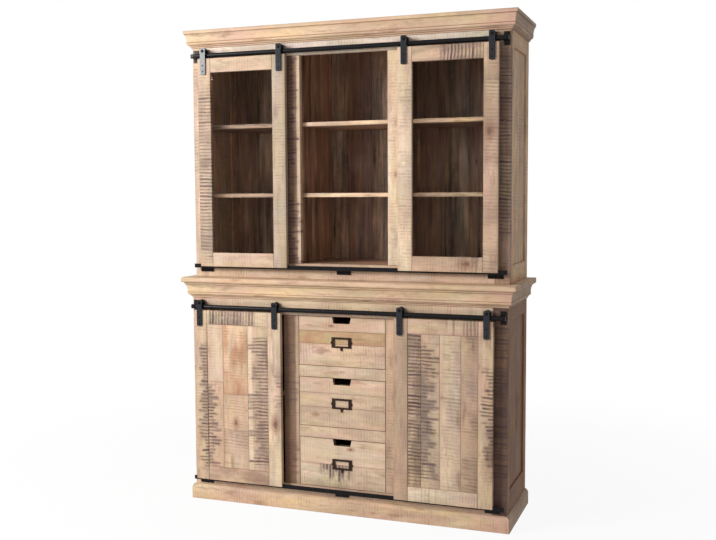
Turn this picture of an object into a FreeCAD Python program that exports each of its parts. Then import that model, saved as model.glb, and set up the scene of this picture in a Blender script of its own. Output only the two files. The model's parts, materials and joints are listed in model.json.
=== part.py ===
import FreeCAD, Part
import math
import os

# A two-part dresser in solid wood. The upper case stands on the waist slab of the lower case.
# Each case has a round steel rail on its face, and two doors hang from the rail on grooved
# rollers. The upper doors are glazed, the lower ones are boarded, and three drawers fill the
# middle bay of the lower case. The floor is at height 0, the front faces -Y and the middle of
# the width is at 0.

V = FreeCAD.Vector

# Overall sizes
TOTAL_HEIGHT = 2100.0
CASE_WIDTH = 1430.0
UPPER_DEPTH = 376.0
LOWER_STEP = 34.0
WAIST_HEIGHT = 1011.0

# Boards of the two cases
FRAME_THICKNESS = 25.0
PARTITION_THICKNESS = 20.0
SHELF_THICKNESS = 18.0
FLOOR_THICKNESS = 20.0
TOP_THICKNESS = 20.0
BACK_THICKNESS = 10.0
SIDE_PANEL_THICKNESS = 10.0
SIDE_PANEL_RECESS = 7.0
EASED_EDGE = 1.0

# Face frames, seen from the front
STILE_WIDTH = 60.0
MULLION_WIDTH = 72.0
MIDDLE_BAY_WIDTH = 396.0
UPPER_BOTTOM_RAIL = 67.0
UPPER_TOP_RAIL = 110.0
LOWER_BOTTOM_RAIL = 111.0
LOWER_TOP_RAIL = 132.0
DRAWER_RAIL = 50.0
DRAWER_COUNT = 3

# Side frames
SIDE_FRONT_STILE = 33.0
SIDE_BACK_STILE = 58.0
SIDE_BOTTOM_RAIL = 75.0
SIDE_TOP_RAIL = 119.0
LOWER_SIDE_BOTTOM_RAIL = 160.0
LOWER_SIDE_TOP_RAIL = 129.0
UPPER_SIDE_BOARD_SHARES = (0.56, 0.44)
LOWER_SIDE_BOARD_SHARES = (0.52, 0.34, 0.14)

# Shelves and backs
UPPER_SHELF_RISE = 305.0
UPPER_SHELF_PITCH = 304.0
UPPER_SHELF_COUNT = 2
LOWER_SHELF_RISE = 400.0
BACK_BOARD_COUNT = 12

# Cornice
CORNICE_HEIGHT = 75.0
CORNICE_OVERHANG = 30.0
CORNICE_LIP = 14.0
CORNICE_LIP_STEP = 4.0
CORNICE_FOOT = 3.0
CORNICE_FOOT_HEIGHT = 6.0
CORNICE_ROUND_HEIGHT = 11.0
CORNICE_ROUND_REACH = 10.0

# Waist slab and the moulding under it
SLAB_THICKNESS = 23.0
SLAB_OVERHANG = 41.0
WAIST_MOULDING_HEIGHT = 67.0
WAIST_MOULDING_PROJECTION = 28.0
WAIST_LIP = 8.0
WAIST_LIP_STEP = 4.0
WAIST_FOOT = 6.0
WAIST_FOOT_HEIGHT = 7.0
WAIST_ROUND_HEIGHT = 17.0
WAIST_ROUND_REACH = 12.0

# How far the curves of a moulding bow from their chords, as a share of the chord
HOLLOW_BOW_SHARE = 0.1
ROUND_BOW_SHARE = 0.2

# Plinth
PLINTH_HEIGHT = 68.0
PLINTH_THICKNESS = 14.0
PLINTH_ROUND = 20.0

# Sliding rails on the faces of the cases
RAIL_RADIUS = 10.0
RAIL_END_INSET = 6.0
UPPER_RAIL_OVER_OPENING = 18.0
LOWER_RAIL_OVER_OPENING = 24.0
BRACKET_WIDTH = 24.0
BRACKET_HEIGHT = 54.0
BRACKET_THICKNESS = 3.5
BOSS_SIZE = 15.0
END_BOLT_RADIUS = 4.0
END_BOLT_DEPTH = 16.0
END_BOLT_FLATS = 13.0
END_BOLT_HEAD = 4.0
SEAT_DEPTH = 1.2

# Guide bars under the doors
GUIDE_THICKNESS = 4.0
GUIDE_HEIGHT = 18.0
GUIDE_BELOW_DOOR = 7.0
TAB_WIDTH = 64.0
TAB_THICKNESS = 3.0
TAB_DROP = 18.0
TAB_INSET = 52.0

# Doors
DOOR_SIDE_LAP = 18.0
DOOR_THICKNESS = 22.0
DOOR_GAP = 12.0
DOOR_UNDER_RAIL = 4.0
UPPER_DOOR_LAP = 19.0
LOWER_DOOR_LAP = 12.0
DOOR_FRAME_WIDTH = 62.0
UPPER_LEFT_DOOR_SHIFT = 0.5
UPPER_RIGHT_DOOR_SHIFT = -0.5
LOWER_LEFT_DOOR_SHIFT = -18.5
LOWER_RIGHT_DOOR_SHIFT = -9.5
GUIDE_GROOVE_CLEARANCE = 1.2
GUIDE_GROOVE_HEADROOM = 3.0
GLASS_THICKNESS = 4.0
GLASS_LIP = 10.0
GLASS_REBATE = 8.0
GLASS_CLEARANCE = 1.0
DOOR_PANEL_THICKNESS = 16.0
DOOR_PANEL_RECESS = 2.0
LEFT_DOOR_BOARD_SHARES = (0.26, 0.41, 0.33)
RIGHT_DOOR_BOARD_SHARES = (0.19, 0.27, 0.30, 0.24)

# Door hangers
STRAP_WIDTH = 25.0
STRAP_THICKNESS = 5.0
STRAP_LENGTH = 116.0
STRAP_CORNER = 4.0
STRAP_INSET = 28.0
STRAP_OVER_AXLE = 13.5
ROLLER_RADIUS = 14.0
ROLLER_GROOVE_RADIUS = 5.5
ROLLER_WIDTH = 26.0
ROLLER_RUNNING_GAP = 0.3
ROLLER_SIDES = 24
AXLE_RADIUS = 4.0
AXLE_CLEARANCE = 0.05
AXLE_FLATS = 13.0
AXLE_HEAD = 5.0
AXLE_NUT = 3.0
AXLE_END_PLAY = 0.3
HOLE_CLEARANCE = 0.1

# Drawers
DRAWER_FRONT_THICKNESS = 20.0
DRAWER_REVEAL = 1.5
DRAWER_LIFT = 1.5
DRAWER_SIDE_THICKNESS = 12.0
DRAWER_HEADROOM = 35.0
DRAWER_SIDE_CLEARANCE = 2.0
DRAWER_BOTTOM_THICKNESS = 6.0
DRAWER_BOTTOM_RISE = 8.0
DRAWER_BACK_ROOM = 50.0
FINGER_CUT_WIDTH = 87.0
FINGER_CUT_FOOT = 75.0
FINGER_CUT_DEPTH = 28.0
RUNNER_WIDTH = 20.0
RUNNER_BACK_ROOM = 55.0
RUNNER_CLEARANCE = 0.3

# Label holders on the drawers
LABEL_WIDTH = 91.0
LABEL_HEIGHT = 46.0
LABEL_WINDOW_WIDTH = 62.0
LABEL_WINDOW_HEIGHT = 30.0
LABEL_PLATE = 2.0
LABEL_LIP = 2.0
LABEL_LIP_WIDTH = 5.0
LABEL_EAR = 5.5
LABEL_EAR_ROOT = 14.0
LABEL_TIP = 13.0
LABEL_TIP_ROOT = 16.0
LABEL_DROP = 109.0

# One overrun serves every cut
CUT = 5.0

# Heights and depths that follow from the sizes above
FRONT_REACH = max(SLAB_OVERHANG, DOOR_GAP + DOOR_THICKNESS + STRAP_THICKNESS + AXLE_HEAD)
BACK_Y = (UPPER_DEPTH + LOWER_STEP + FRONT_REACH) / 2
UPPER_FACE_Y = BACK_Y - UPPER_DEPTH
LOWER_FACE_Y = UPPER_FACE_Y - LOWER_STEP
HALF_WIDTH = CASE_WIDTH / 2
HALF_BAY = MIDDLE_BAY_WIDTH / 2
BACK_FRONT_Y = BACK_Y - BACK_THICKNESS
SIDE_INNER_X = HALF_WIDTH - FRAME_THICKNESS
SLAB_BOTTOM = WAIST_HEIGHT - SLAB_THICKNESS
UPPER_TOP = TOTAL_HEIGHT - TOP_THICKNESS
UPPER_OPENING = (WAIST_HEIGHT + UPPER_BOTTOM_RAIL, UPPER_TOP - UPPER_TOP_RAIL)
LOWER_OPENING = (LOWER_BOTTOM_RAIL, SLAB_BOTTOM - LOWER_TOP_RAIL)
DRAWER_PITCH = (LOWER_OPENING[1] - LOWER_OPENING[0] + DRAWER_RAIL) / DRAWER_COUNT
DRAWER_OPENING = DRAWER_PITCH - DRAWER_RAIL
DRAWER_SIDE_HEIGHT = DRAWER_OPENING - DRAWER_HEADROOM
SIDE_BAY = (HALF_BAY + MULLION_WIDTH, HALF_WIDTH - STILE_WIDTH)
SIDE_BAY_MIDDLE = (SIDE_BAY[0] + SIDE_BAY[1]) / 2
DOOR_WIDTH = SIDE_BAY[1] - SIDE_BAY[0] + 2 * DOOR_SIDE_LAP
ROLLER_HALF = ROLLER_WIDTH / 2
GROOVE_WALL = math.hypot(ROLLER_HALF, ROLLER_RADIUS - ROLLER_GROOVE_RADIUS)
AXLE_RISE = ROLLER_GROOVE_RADIUS + (RAIL_RADIUS + ROLLER_RUNNING_GAP) * GROOVE_WALL / ROLLER_HALF
RAIL_STANDOFF = DOOR_GAP + DOOR_THICKNESS - AXLE_END_PLAY - ROLLER_HALF
RAIL_HALF = HALF_WIDTH - RAIL_END_INSET
BRACKET_X = RAIL_HALF - BRACKET_WIDTH / 2


def box(x, y, z):
    """A block between two limits on each axis."""
    return Part.makeBox(x[1] - x[0], y[1] - y[0], z[1] - z[0], V(x[0], y[0], z[0]))


def board(x, y, z, along):
    """A block whose four edges along one axis are eased."""
    block = box(x, y, z)
    ease = min(EASED_EDGE, (x[1] - x[0]) / 3, (y[1] - y[0]) / 3, (z[1] - z[0]) / 3)
    direction = {"x": V(1, 0, 0), "y": V(0, 1, 0), "z": V(0, 0, 1)}[along]
    edges = [e for e in block.Edges if abs(e.tangentAt(e.FirstParameter).dot(direction)) > 0.9]
    return block.makeChamfer(ease, edges)


def rod(radius, start, end):
    """A cylinder between two points."""
    return Part.makeCylinder(radius, (end - start).Length, start, end - start)


def prism(points, shift):
    """A closed outline pushed along a vector."""
    return Part.Face(Part.makePolygon(points + points[:1])).extrude(shift)


def mirrored(shape):
    """The same shape on the other side of the middle."""
    return shape.mirror(V(0, 0, 0), V(1, 0, 0))


def both_sides(shapes):
    """The shapes of the right side with their twins on the left."""
    return [mirrored(s) for s in shapes] + shapes


def drilled(solids, tools):
    """The solids, each cut by the tools that reach it."""
    result = []
    for solid in solids:
        near = [t for t in tools if solid.BoundBox.intersect(t.BoundBox)]
        result.append(solid.cut(near).Solids[0] if near else solid)
    return result


def save(name, solids):
    """Writes one named piece or group of pieces."""
    shape = solids[0] if len(solids) == 1 else Part.makeCompound(solids)
    shape.exportStep(os.path.join("parts", name + ".step"))


def spans(low, high, shares):
    """Limits of boards that lie side by side, with widths in the given shares."""
    total = sum(shares)
    edges = [low]
    for share in shares:
        edges.append(edges[-1] + (high - low) * share / total)
    edges[-1] = high
    return list(zip(edges[:-1], edges[1:]))


def grown(limits, by):
    """Two limits moved apart by the same amount."""
    return (limits[0] - by, limits[1] + by)


# Bolts

def ring(at, radius, sides):
    """The corners of a regular outline that faces the front."""
    turns = [2 * math.pi * n / sides for n in range(sides)]
    return [at + V(radius * math.cos(a), 0, radius * math.sin(a)) for a in turns]


def hexagon(at, flats, thickness):
    """A six-sided head or nut that reaches back from a point by its thickness."""
    return prism(ring(at, flats / math.sqrt(3), 6), V(0, thickness, 0))


def bolt(seat, radius, flats, head, length):
    """A bolt that goes in along +Y, with the underside of its head at a point."""
    shank = rod(radius, seat, seat + V(0, length, 0))
    return hexagon(seat - V(0, head, 0), flats, head).fuse(shank)


def bolt_hole(at, radius, length):
    """The hole that a bolt needs in what it passes through and what it holds in."""
    end = at + V(0, length + HOLE_CLEARANCE, 0)
    return rod(radius + HOLE_CLEARANCE, at - V(0, CUT, 0), end)


# What belongs to the face of one case: its plane, its opening and its sliding gear

class Tier:
    def __init__(self, name, face_y, opening, rail_over, lap, doors):
        self.name = name
        self.face_y = face_y
        self.opening = opening
        self.rail_z = opening[1] + rail_over
        self.axle_z = self.rail_z + AXLE_RISE
        self.door_top = self.rail_z - RAIL_RADIUS - DOOR_UNDER_RAIL
        self.door_bottom = opening[0] - lap
        self.guide_z = self.door_bottom - GUIDE_BELOW_DOOR
        self.rail_y = face_y - RAIL_STANDOFF
        self.door_back = face_y - DOOR_GAP
        self.door_front = self.door_back - DOOR_THICKNESS
        self.guide_y = self.door_back - DOOR_THICKNESS / 2
        self.doors = doors

    def end_bolt_places(self, y):
        """Where the bolts of the rail's two ends cross a plane."""
        return [V(side * BRACKET_X, y, self.rail_z) for side in (-1, 1)]

    def face_holes(self):
        """The holes of the rail's end bolts in the face frame."""
        places = self.end_bolt_places(self.face_y)
        return [bolt_hole(at, END_BOLT_RADIUS, END_BOLT_DEPTH) for at in places]


UPPER = Tier(
    "upper",
    UPPER_FACE_Y,
    UPPER_OPENING,
    UPPER_RAIL_OVER_OPENING,
    UPPER_DOOR_LAP,
    {
        "left": -SIDE_BAY_MIDDLE + UPPER_LEFT_DOOR_SHIFT,
        "right": SIDE_BAY_MIDDLE + UPPER_RIGHT_DOOR_SHIFT,
    },
)
LOWER = Tier(
    "lower",
    LOWER_FACE_Y,
    LOWER_OPENING,
    LOWER_RAIL_OVER_OPENING,
    LOWER_DOOR_LAP,
    {
        "left": -SIDE_BAY_MIDDLE + LOWER_LEFT_DOOR_SHIFT,
        "right": SIDE_BAY_MIDDLE + LOWER_RIGHT_DOOR_SHIFT,
    },
)


# Cases

def side_frame(front_y, low, high, bottom_rail, top_rail, shares):
    """The right side of a case: two stiles, two rails and upright boards set back between them."""
    x = (SIDE_INNER_X, HALF_WIDTH)
    front = (front_y, front_y + SIDE_FRONT_STILE)
    back = (BACK_Y - SIDE_BACK_STILE, BACK_Y)
    between = (front[1], back[0])
    panel_x = (
        HALF_WIDTH - SIDE_PANEL_RECESS - SIDE_PANEL_THICKNESS,
        HALF_WIDTH - SIDE_PANEL_RECESS,
    )
    panel_z = (low + bottom_rail, high - top_rail)
    pieces = [
        board(x, front, (low, high), "z"),
        board(x, back, (low, high), "z"),
        board(x, between, (low, panel_z[0]), "y"),
        board(x, between, (panel_z[1], high), "y"),
    ]
    for y in spans(between[0], between[1], shares):
        pieces.append(board(panel_x, y, panel_z, "z"))
    return pieces


def face_frame(tier, low, high, drawer_rails):
    """The frame on a case's face: outer stiles, a top and a bottom rail, and two mullions."""
    y = (tier.face_y, tier.face_y + FRAME_THICKNESS)
    inner = SIDE_BAY[1]
    uprights = [
        board((inner, HALF_WIDTH), y, (low, high), "z"),
        board((HALF_BAY, SIDE_BAY[0]), y, tier.opening, "z"),
    ]
    cross = [
        board((-inner, inner), y, (low, tier.opening[0]), "x"),
        board((-inner, inner), y, (tier.opening[1], high), "x"),
    ]
    for z in drawer_rails:
        cross.append(board((-HALF_BAY, HALF_BAY), y, z, "x"))
    return drilled(both_sides(uprights) + cross, tier.face_holes())


def back_boards(low, high):
    """Upright boards between the sides that close the back."""
    shares = (1,) * BACK_BOARD_COUNT
    y = (BACK_FRONT_Y, BACK_Y)
    return [board(x, y, (low, high), "z") for x in spans(-SIDE_INNER_X, SIDE_INNER_X, shares)]


def inside_depth(tier):
    """The depth limits of the space between the face frame and the back."""
    return (tier.face_y + FRAME_THICKNESS, BACK_FRONT_Y)


def partitions(tier, low, high):
    """The two upright walls between the bays."""
    x = (HALF_BAY, HALF_BAY + PARTITION_THICKNESS)
    return both_sides([box(x, inside_depth(tier), (low, high))])


def bay_shelves(tier, tops):
    """A shelf in both side bays for every height of a shelf's top."""
    x = (HALF_BAY + PARTITION_THICKNESS, SIDE_INNER_X)
    shelves = []
    for top in tops:
        z = (top - SHELF_THICKNESS, top)
        shelves += both_sides([board(x, inside_depth(tier), z, "x")])
    return shelves


def floor_board(tier):
    """The board that the bays stand on, level with the bottom of the opening."""
    z = (tier.opening[0] - FLOOR_THICKNESS, tier.opening[0])
    return [box((-SIDE_INNER_X, SIDE_INNER_X), inside_depth(tier), z)]


def upper_case():
    low, high = WAIST_HEIGHT, UPPER_TOP
    depth = inside_depth(UPPER)
    rails = (SIDE_BOTTOM_RAIL, SIDE_TOP_RAIL)
    side = side_frame(depth[0], low, high, *rails, UPPER_SIDE_BOARD_SHARES)
    save("upper_left_side", [mirrored(s) for s in side])
    save("upper_right_side", side)
    save("upper_face_frame", face_frame(UPPER, low, high, []))
    save("upper_partitions", partitions(UPPER, UPPER_OPENING[0], high))
    save("upper_bottom_board", floor_board(UPPER))
    save("upper_back_boards", back_boards(low, high))
    top_x = (-HALF_WIDTH, HALF_WIDTH)
    save("upper_top_board", [box(top_x, (UPPER_FACE_Y, BACK_Y), (UPPER_TOP, TOTAL_HEIGHT))])
    first = UPPER_OPENING[0] + UPPER_SHELF_RISE
    tops = [first + n * UPPER_SHELF_PITCH for n in range(UPPER_SHELF_COUNT)]
    middle = [
        board((-HALF_BAY, HALF_BAY), depth, (top - SHELF_THICKNESS, top), "x") for top in tops
    ]
    save("upper_shelves", bay_shelves(UPPER, tops) + middle)


def lower_case():
    low, high = 0, SLAB_BOTTOM
    depth = inside_depth(LOWER)
    side_rails = (LOWER_SIDE_BOTTOM_RAIL, LOWER_SIDE_TOP_RAIL)
    side = side_frame(depth[0], low, high, *side_rails, LOWER_SIDE_BOARD_SHARES)
    rails = [
        (LOWER_BOTTOM_RAIL + n * DRAWER_PITCH - DRAWER_RAIL, LOWER_BOTTOM_RAIL + n * DRAWER_PITCH)
        for n in range(1, DRAWER_COUNT)
    ]
    save("lower_left_side", [mirrored(s) for s in side])
    save("lower_right_side", side)
    save("lower_face_frame", face_frame(LOWER, low, high, rails))
    save("lower_partitions", partitions(LOWER, LOWER_OPENING[0], high))
    save("lower_bottom_board", floor_board(LOWER))
    save("lower_back_boards", back_boards(low, high))
    save("lower_shelves", bay_shelves(LOWER, [LOWER_OPENING[0] + LOWER_SHELF_RISE]))
    runners = []
    for z in rails + [(LOWER_OPENING[1], LOWER_OPENING[1] + DRAWER_RAIL)]:
        x = (HALF_BAY - RUNNER_WIDTH, HALF_BAY)
        runners.append(box(x, (depth[0], depth[1] - RUNNER_BACK_ROOM), z))
    save("drawer_runners", both_sides(runners))
    slab_x = (-HALF_WIDTH - SLAB_OVERHANG, HALF_WIDTH + SLAB_OVERHANG)
    slab_y = (LOWER_FACE_Y - SLAB_OVERHANG, BACK_Y)
    save("waist_slab", [board(slab_x, slab_y, (SLAB_BOTTOM, WAIST_HEIGHT), "x")])


# Mouldings

def arc_through(start, end, bow):
    """An arc between two points of an outline, bowed to its left by a share of its length."""
    chord = V(end[0] - start[0], end[1] - start[1], 0)
    middle = V((start[0] + end[0]) / 2, (start[1] + end[1]) / 2, 0)
    return middle + V(-chord.y, chord.x, 0) * bow


def moulded_outline(height, projection, lip, lip_step, foot, foot_height, reach, rise):
    """A moulding's outline, as lines and arcs from the foot up: foot, round, hollow and lip."""
    start = (foot, foot_height)
    turn = (foot + reach, foot_height + rise)
    finish = (projection - lip_step, height - lip)
    return [
        ("line", (0, 0), (foot, 0)),
        ("line", (foot, 0), start),
        ("arc", start, turn, -ROUND_BOW_SHARE),
        ("arc", turn, finish, HOLLOW_BOW_SHARE),
        ("line", finish, (projection, height - lip)),
        ("line", (projection, height - lip), (projection, height)),
        ("line", (projection, height), (0, height)),
        ("line", (0, height), (0, 0)),
    ]


def plinth_outline():
    """A flat board whose top edge rounds back to the case in one arc."""
    out, round_z = PLINTH_THICKNESS, PLINTH_HEIGHT - PLINTH_ROUND
    radius = (PLINTH_ROUND ** 2 + out ** 2) / (2 * out)
    half_turn = math.atan2(PLINTH_ROUND, radius - out) / 2
    share = (1 - math.cos(half_turn)) / (2 * math.sin(half_turn))
    return [
        ("line", (0, 0), (out, 0)),
        ("line", (out, 0), (out, round_z)),
        ("arc", (out, round_z), (0, PLINTH_HEIGHT), -share),
        ("line", (0, PLINTH_HEIGHT), (0, 0)),
    ]


def outline_face(outline, place):
    """The face inside an outline, with each point put in space by a function."""
    edges = []
    for kind, start, end, *bow in outline:
        if kind == "arc":
            middle = arc_through(start, end, bow[0])
            points = place(*start), place(middle.x, middle.y), place(*end)
            edges.append(Part.Arc(*points).toShape())
        else:
            edges.append(Part.makeLine(place(*start), place(*end)))
    return Part.Face(Part.Wire(edges))


def mitred_moulding(outline, face_y, low):
    """One length across a case's face and one down each side, mitred where they meet."""
    reach = max(end[0] for _, _, end, *_ in outline)
    height = max(end[1] for _, _, end, *_ in outline)
    outer = HALF_WIDTH + reach
    lift = V(0, 0, height)
    across = outline_face(outline, lambda out, z: V(-outer, face_y - out, low + z))
    along = outline_face(outline, lambda out, z: V(HALF_WIDTH + out, face_y - reach, low + z))
    front_plan = [
        V(-outer, face_y - reach, low),
        V(outer, face_y - reach, low),
        V(HALF_WIDTH, face_y, low),
        V(-HALF_WIDTH, face_y, low),
    ]
    side_plan = [
        V(HALF_WIDTH, face_y, low),
        V(outer, face_y - reach, low),
        V(outer, BACK_Y, low),
        V(HALF_WIDTH, BACK_Y, low),
    ]
    front = across.extrude(V(2 * outer, 0, 0)).common(prism(front_plan, lift))
    side = along.extrude(V(0, BACK_Y - face_y + reach, 0)).common(prism(side_plan, lift))
    return front.Solids + both_sides(side.Solids)


def mouldings():
    cornice = moulded_outline(
        CORNICE_HEIGHT,
        CORNICE_OVERHANG,
        CORNICE_LIP,
        CORNICE_LIP_STEP,
        CORNICE_FOOT,
        CORNICE_FOOT_HEIGHT,
        CORNICE_ROUND_REACH,
        CORNICE_ROUND_HEIGHT,
    )
    waist = moulded_outline(
        WAIST_MOULDING_HEIGHT,
        WAIST_MOULDING_PROJECTION,
        WAIST_LIP,
        WAIST_LIP_STEP,
        WAIST_FOOT,
        WAIST_FOOT_HEIGHT,
        WAIST_ROUND_REACH,
        WAIST_ROUND_HEIGHT,
    )
    save("cornice", mitred_moulding(cornice, UPPER_FACE_Y, TOTAL_HEIGHT - CORNICE_HEIGHT))
    waist_low = SLAB_BOTTOM - WAIST_MOULDING_HEIGHT
    save("waist_moulding", mitred_moulding(waist, LOWER_FACE_Y, waist_low))
    save("plinth", mitred_moulding(plinth_outline(), LOWER_FACE_Y, 0))


# Sliding gear on the cases

def rail(tier):
    """A round bar with a bolt hole and a milled flat for the bolt's head at each end."""
    left, right = (V(x, tier.rail_y, tier.rail_z) for x in (-RAIL_HALF, RAIL_HALF))
    bar = rod(RAIL_RADIUS, left, right)
    tools = []
    for front in tier.end_bolt_places(tier.rail_y - RAIL_RADIUS):
        tools.append(bolt_hole(front, END_BOLT_RADIUS, 2 * RAIL_RADIUS + CUT))
        x = grown((front.x, front.x), BRACKET_WIDTH / 2)
        z = grown((front.z, front.z), RAIL_RADIUS)
        tools.append(box(x, (front.y - CUT, front.y + SEAT_DEPTH), z))
    return [bar.cut(tools).Solids[0]]


def rail_brackets(tier):
    """At each end a plate on the case with a square boss, hollowed in front to fit the rail."""
    pieces = []
    z = grown((tier.rail_z, tier.rail_z), BRACKET_HEIGHT / 2)
    plate_y = (tier.face_y - BRACKET_THICKNESS, tier.face_y)
    reach = V(BRACKET_WIDTH, 0, 0)
    boss_z = grown((tier.rail_z, tier.rail_z), BOSS_SIZE / 2)
    for at in tier.end_bolt_places(tier.rail_y):
        plate = box(grown((at.x, at.x), BRACKET_WIDTH / 2), plate_y, z)
        boss_x = grown((at.x, at.x), BOSS_SIZE / 2)
        boss = box(boss_x, (tier.rail_y, plate_y[0]), boss_z)
        bore = bolt_hole(at, END_BOLT_RADIUS, RAIL_STANDOFF + CUT)
        saddle = rod(RAIL_RADIUS, at - reach, at + reach)
        pieces.append(plate.fuse(boss).cut([bore, saddle]).Solids[0])
    return pieces


def end_bolts(tier):
    """The bolts that hold the rail's ends to the case."""
    seat_y = tier.rail_y - RAIL_RADIUS + SEAT_DEPTH
    length = tier.face_y + END_BOLT_DEPTH - seat_y
    sizes = (END_BOLT_RADIUS, END_BOLT_FLATS, END_BOLT_HEAD)
    return [bolt(seat, *sizes, length).Solids[0] for seat in tier.end_bolt_places(seat_y)]


def guide_bar(tier):
    """A flat bar on edge that runs in the doors' grooves, with three tabs bent back to the case."""
    y = (tier.guide_y - GUIDE_THICKNESS / 2, tier.guide_y + GUIDE_THICKNESS / 2)
    bar = box((-RAIL_HALF, RAIL_HALF), y, (tier.guide_z, tier.guide_z + GUIDE_HEIGHT))
    tabs = []
    for middle in (TAB_INSET - RAIL_HALF, 0, RAIL_HALF - TAB_INSET):
        x = (middle - TAB_WIDTH / 2, middle + TAB_WIDTH / 2)
        leg_z = (tier.guide_z, tier.guide_z + TAB_THICKNESS)
        tabs.append(box(x, (y[1] - GUIDE_THICKNESS / 2, tier.face_y), leg_z))
        foot_z = (tier.guide_z - TAB_DROP, leg_z[1])
        tabs.append(box(x, (tier.face_y - TAB_THICKNESS, tier.face_y), foot_z))
    return bar.fuse(tabs).removeSplitter().Solids


def case_gear():
    brackets, bolts = [], []
    for tier in (UPPER, LOWER):
        save(tier.name + "_rail", rail(tier))
        save(tier.name + "_guide_bar", guide_bar(tier))
        brackets += rail_brackets(tier)
        bolts += end_bolts(tier)
    save("rail_brackets", brackets)
    save("rail_end_bolts", bolts)


# Doors

def strap_middles(door_x):
    """The two places across a door where its hangers sit."""
    reach = DOOR_WIDTH / 2 - STRAP_INSET
    return (door_x - reach, door_x + reach)


def strap(tier, x):
    """A flat steel strap with its corners cut off, drilled for the roller's axle."""
    top = tier.axle_z + STRAP_OVER_AXLE
    y = (tier.door_front - STRAP_THICKNESS, tier.door_front)
    plate = box((x - STRAP_WIDTH / 2, x + STRAP_WIDTH / 2), y, (top - STRAP_LENGTH, top))
    corners = [e for e in plate.Edges if abs(e.tangentAt(e.FirstParameter).y) > 0.9]
    plate = plate.makeChamfer(STRAP_CORNER, corners)
    hole = bolt_hole(V(x, y[0], tier.axle_z), AXLE_RADIUS, STRAP_THICKNESS + CUT)
    return plate.cut(hole).Solids[0]


def roller(tier, x):
    """A many-sided wheel with a deep groove for the round rail, bored for its axle."""
    centre = V(x, tier.rail_y, tier.axle_z)
    half = V(0, ROLLER_HALF, 0)
    places = (
        (centre - half, ROLLER_RADIUS),
        (centre, ROLLER_GROOVE_RADIUS),
        (centre + half, ROLLER_RADIUS),
    )
    rings = [ring(at, radius, ROLLER_SIDES) for at, radius in places]
    faces = [Part.Face(Part.makePolygon(r + r[:1])) for r in (rings[0], rings[-1])]
    for near, far in zip(rings[:-1], rings[1:]):
        for n in range(ROLLER_SIDES):
            corners = [near[n - 1], near[n], far[n], far[n - 1]]
            faces.append(Part.Face(Part.makePolygon(corners + corners[:1])))
    wheel = Part.Solid(Part.Shell(faces))
    if wheel.Volume < 0:
        wheel.reverse()
    bore = rod(AXLE_RADIUS + AXLE_CLEARANCE, centre - 2 * half, centre + 2 * half)
    return wheel.cut(bore).Solids[0]


def axle_bolt(tier, x):
    """The bolt through a strap that carries its roller in front of a nut."""
    seat = V(x, tier.door_front - STRAP_THICKNESS, tier.axle_z)
    nut_y = tier.rail_y + ROLLER_HALF + AXLE_END_PLAY
    length = nut_y + AXLE_NUT - seat.y
    nut = hexagon(V(x, nut_y, tier.axle_z), AXLE_FLATS, AXLE_NUT)
    sizes = (AXLE_RADIUS, AXLE_FLATS, AXLE_HEAD)
    return bolt(seat, *sizes, length).fuse(nut).removeSplitter().Solids[0]


def guide_groove(tier, door_x):
    """What the guide bar needs cut from the bottom edge of a door."""
    half = GUIDE_THICKNESS / 2 + GUIDE_GROOVE_CLEARANCE
    top = tier.guide_z + GUIDE_HEIGHT + GUIDE_GROOVE_HEADROOM
    x = (door_x - DOOR_WIDTH / 2 - CUT, door_x + DOOR_WIDTH / 2 + CUT)
    return box(x, (tier.guide_y - half, tier.guide_y + half), (tier.door_bottom - CUT, top))


def door_frame(tier, door_x):
    """Two stiles of the door's full height with the rails between them."""
    left, right = door_x - DOOR_WIDTH / 2, door_x + DOOR_WIDTH / 2
    y = (tier.door_front, tier.door_back)
    z = (tier.door_bottom, tier.door_top)
    between = (left + DOOR_FRAME_WIDTH, right - DOOR_FRAME_WIDTH)
    return [
        board((left, between[0]), y, z, "z"),
        board((between[1], right), y, z, "z"),
        board(between, y, (z[0], z[0] + DOOR_FRAME_WIDTH), "x"),
        board(between, y, (z[1] - DOOR_FRAME_WIDTH, z[1]), "x"),
    ]


def door_light(tier, door_x):
    """The limits of the space inside a door's frame."""
    half = DOOR_WIDTH / 2 - DOOR_FRAME_WIDTH
    low, high = tier.door_bottom + DOOR_FRAME_WIDTH, tier.door_top - DOOR_FRAME_WIDTH
    return (door_x - half, door_x + half), (low, high)


def glazed_door(tier, side, door_x):
    """A frame rebated from behind, its pane and the four beads that hold the pane."""
    x, z = door_light(tier, door_x)
    pane_front = tier.door_front + GLASS_LIP
    pane_y = (pane_front, pane_front + GLASS_THICKNESS)
    rebate_x, rebate_z = grown(x, GLASS_REBATE), grown(z, GLASS_REBATE)
    rebate = box(rebate_x, (pane_front, tier.door_back + CUT), rebate_z)
    frame = drilled(door_frame(tier, door_x), [guide_groove(tier, door_x), rebate])
    pane = box(grown(rebate_x, -GLASS_CLEARANCE), pane_y, grown(rebate_z, -GLASS_CLEARANCE))
    bead_y = (pane_y[1], tier.door_back)
    beads = [
        box((rebate_x[0], x[0]), bead_y, rebate_z),
        box((x[1], rebate_x[1]), bead_y, rebate_z),
        box(x, bead_y, (rebate_z[0], z[0])),
        box(x, bead_y, (z[1], rebate_z[1])),
    ]
    save(f"{tier.name}_{side}_door_frame", frame + beads)
    save(f"{tier.name}_{side}_door_glass", [pane])


def boarded_door(tier, side, door_x, shares):
    """A frame filled with upright boards, almost level with its front."""
    x, z = door_light(tier, door_x)
    frame = drilled(door_frame(tier, door_x), [guide_groove(tier, door_x)])
    save(f"{tier.name}_{side}_door_frame", frame)
    front = tier.door_front + DOOR_PANEL_RECESS
    y = (front, front + DOOR_PANEL_THICKNESS)
    boards = [board(limits, y, z, "z") for limits in spans(x[0], x[1], shares)]
    save(f"{tier.name}_{side}_door_boards", boards)


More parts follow.
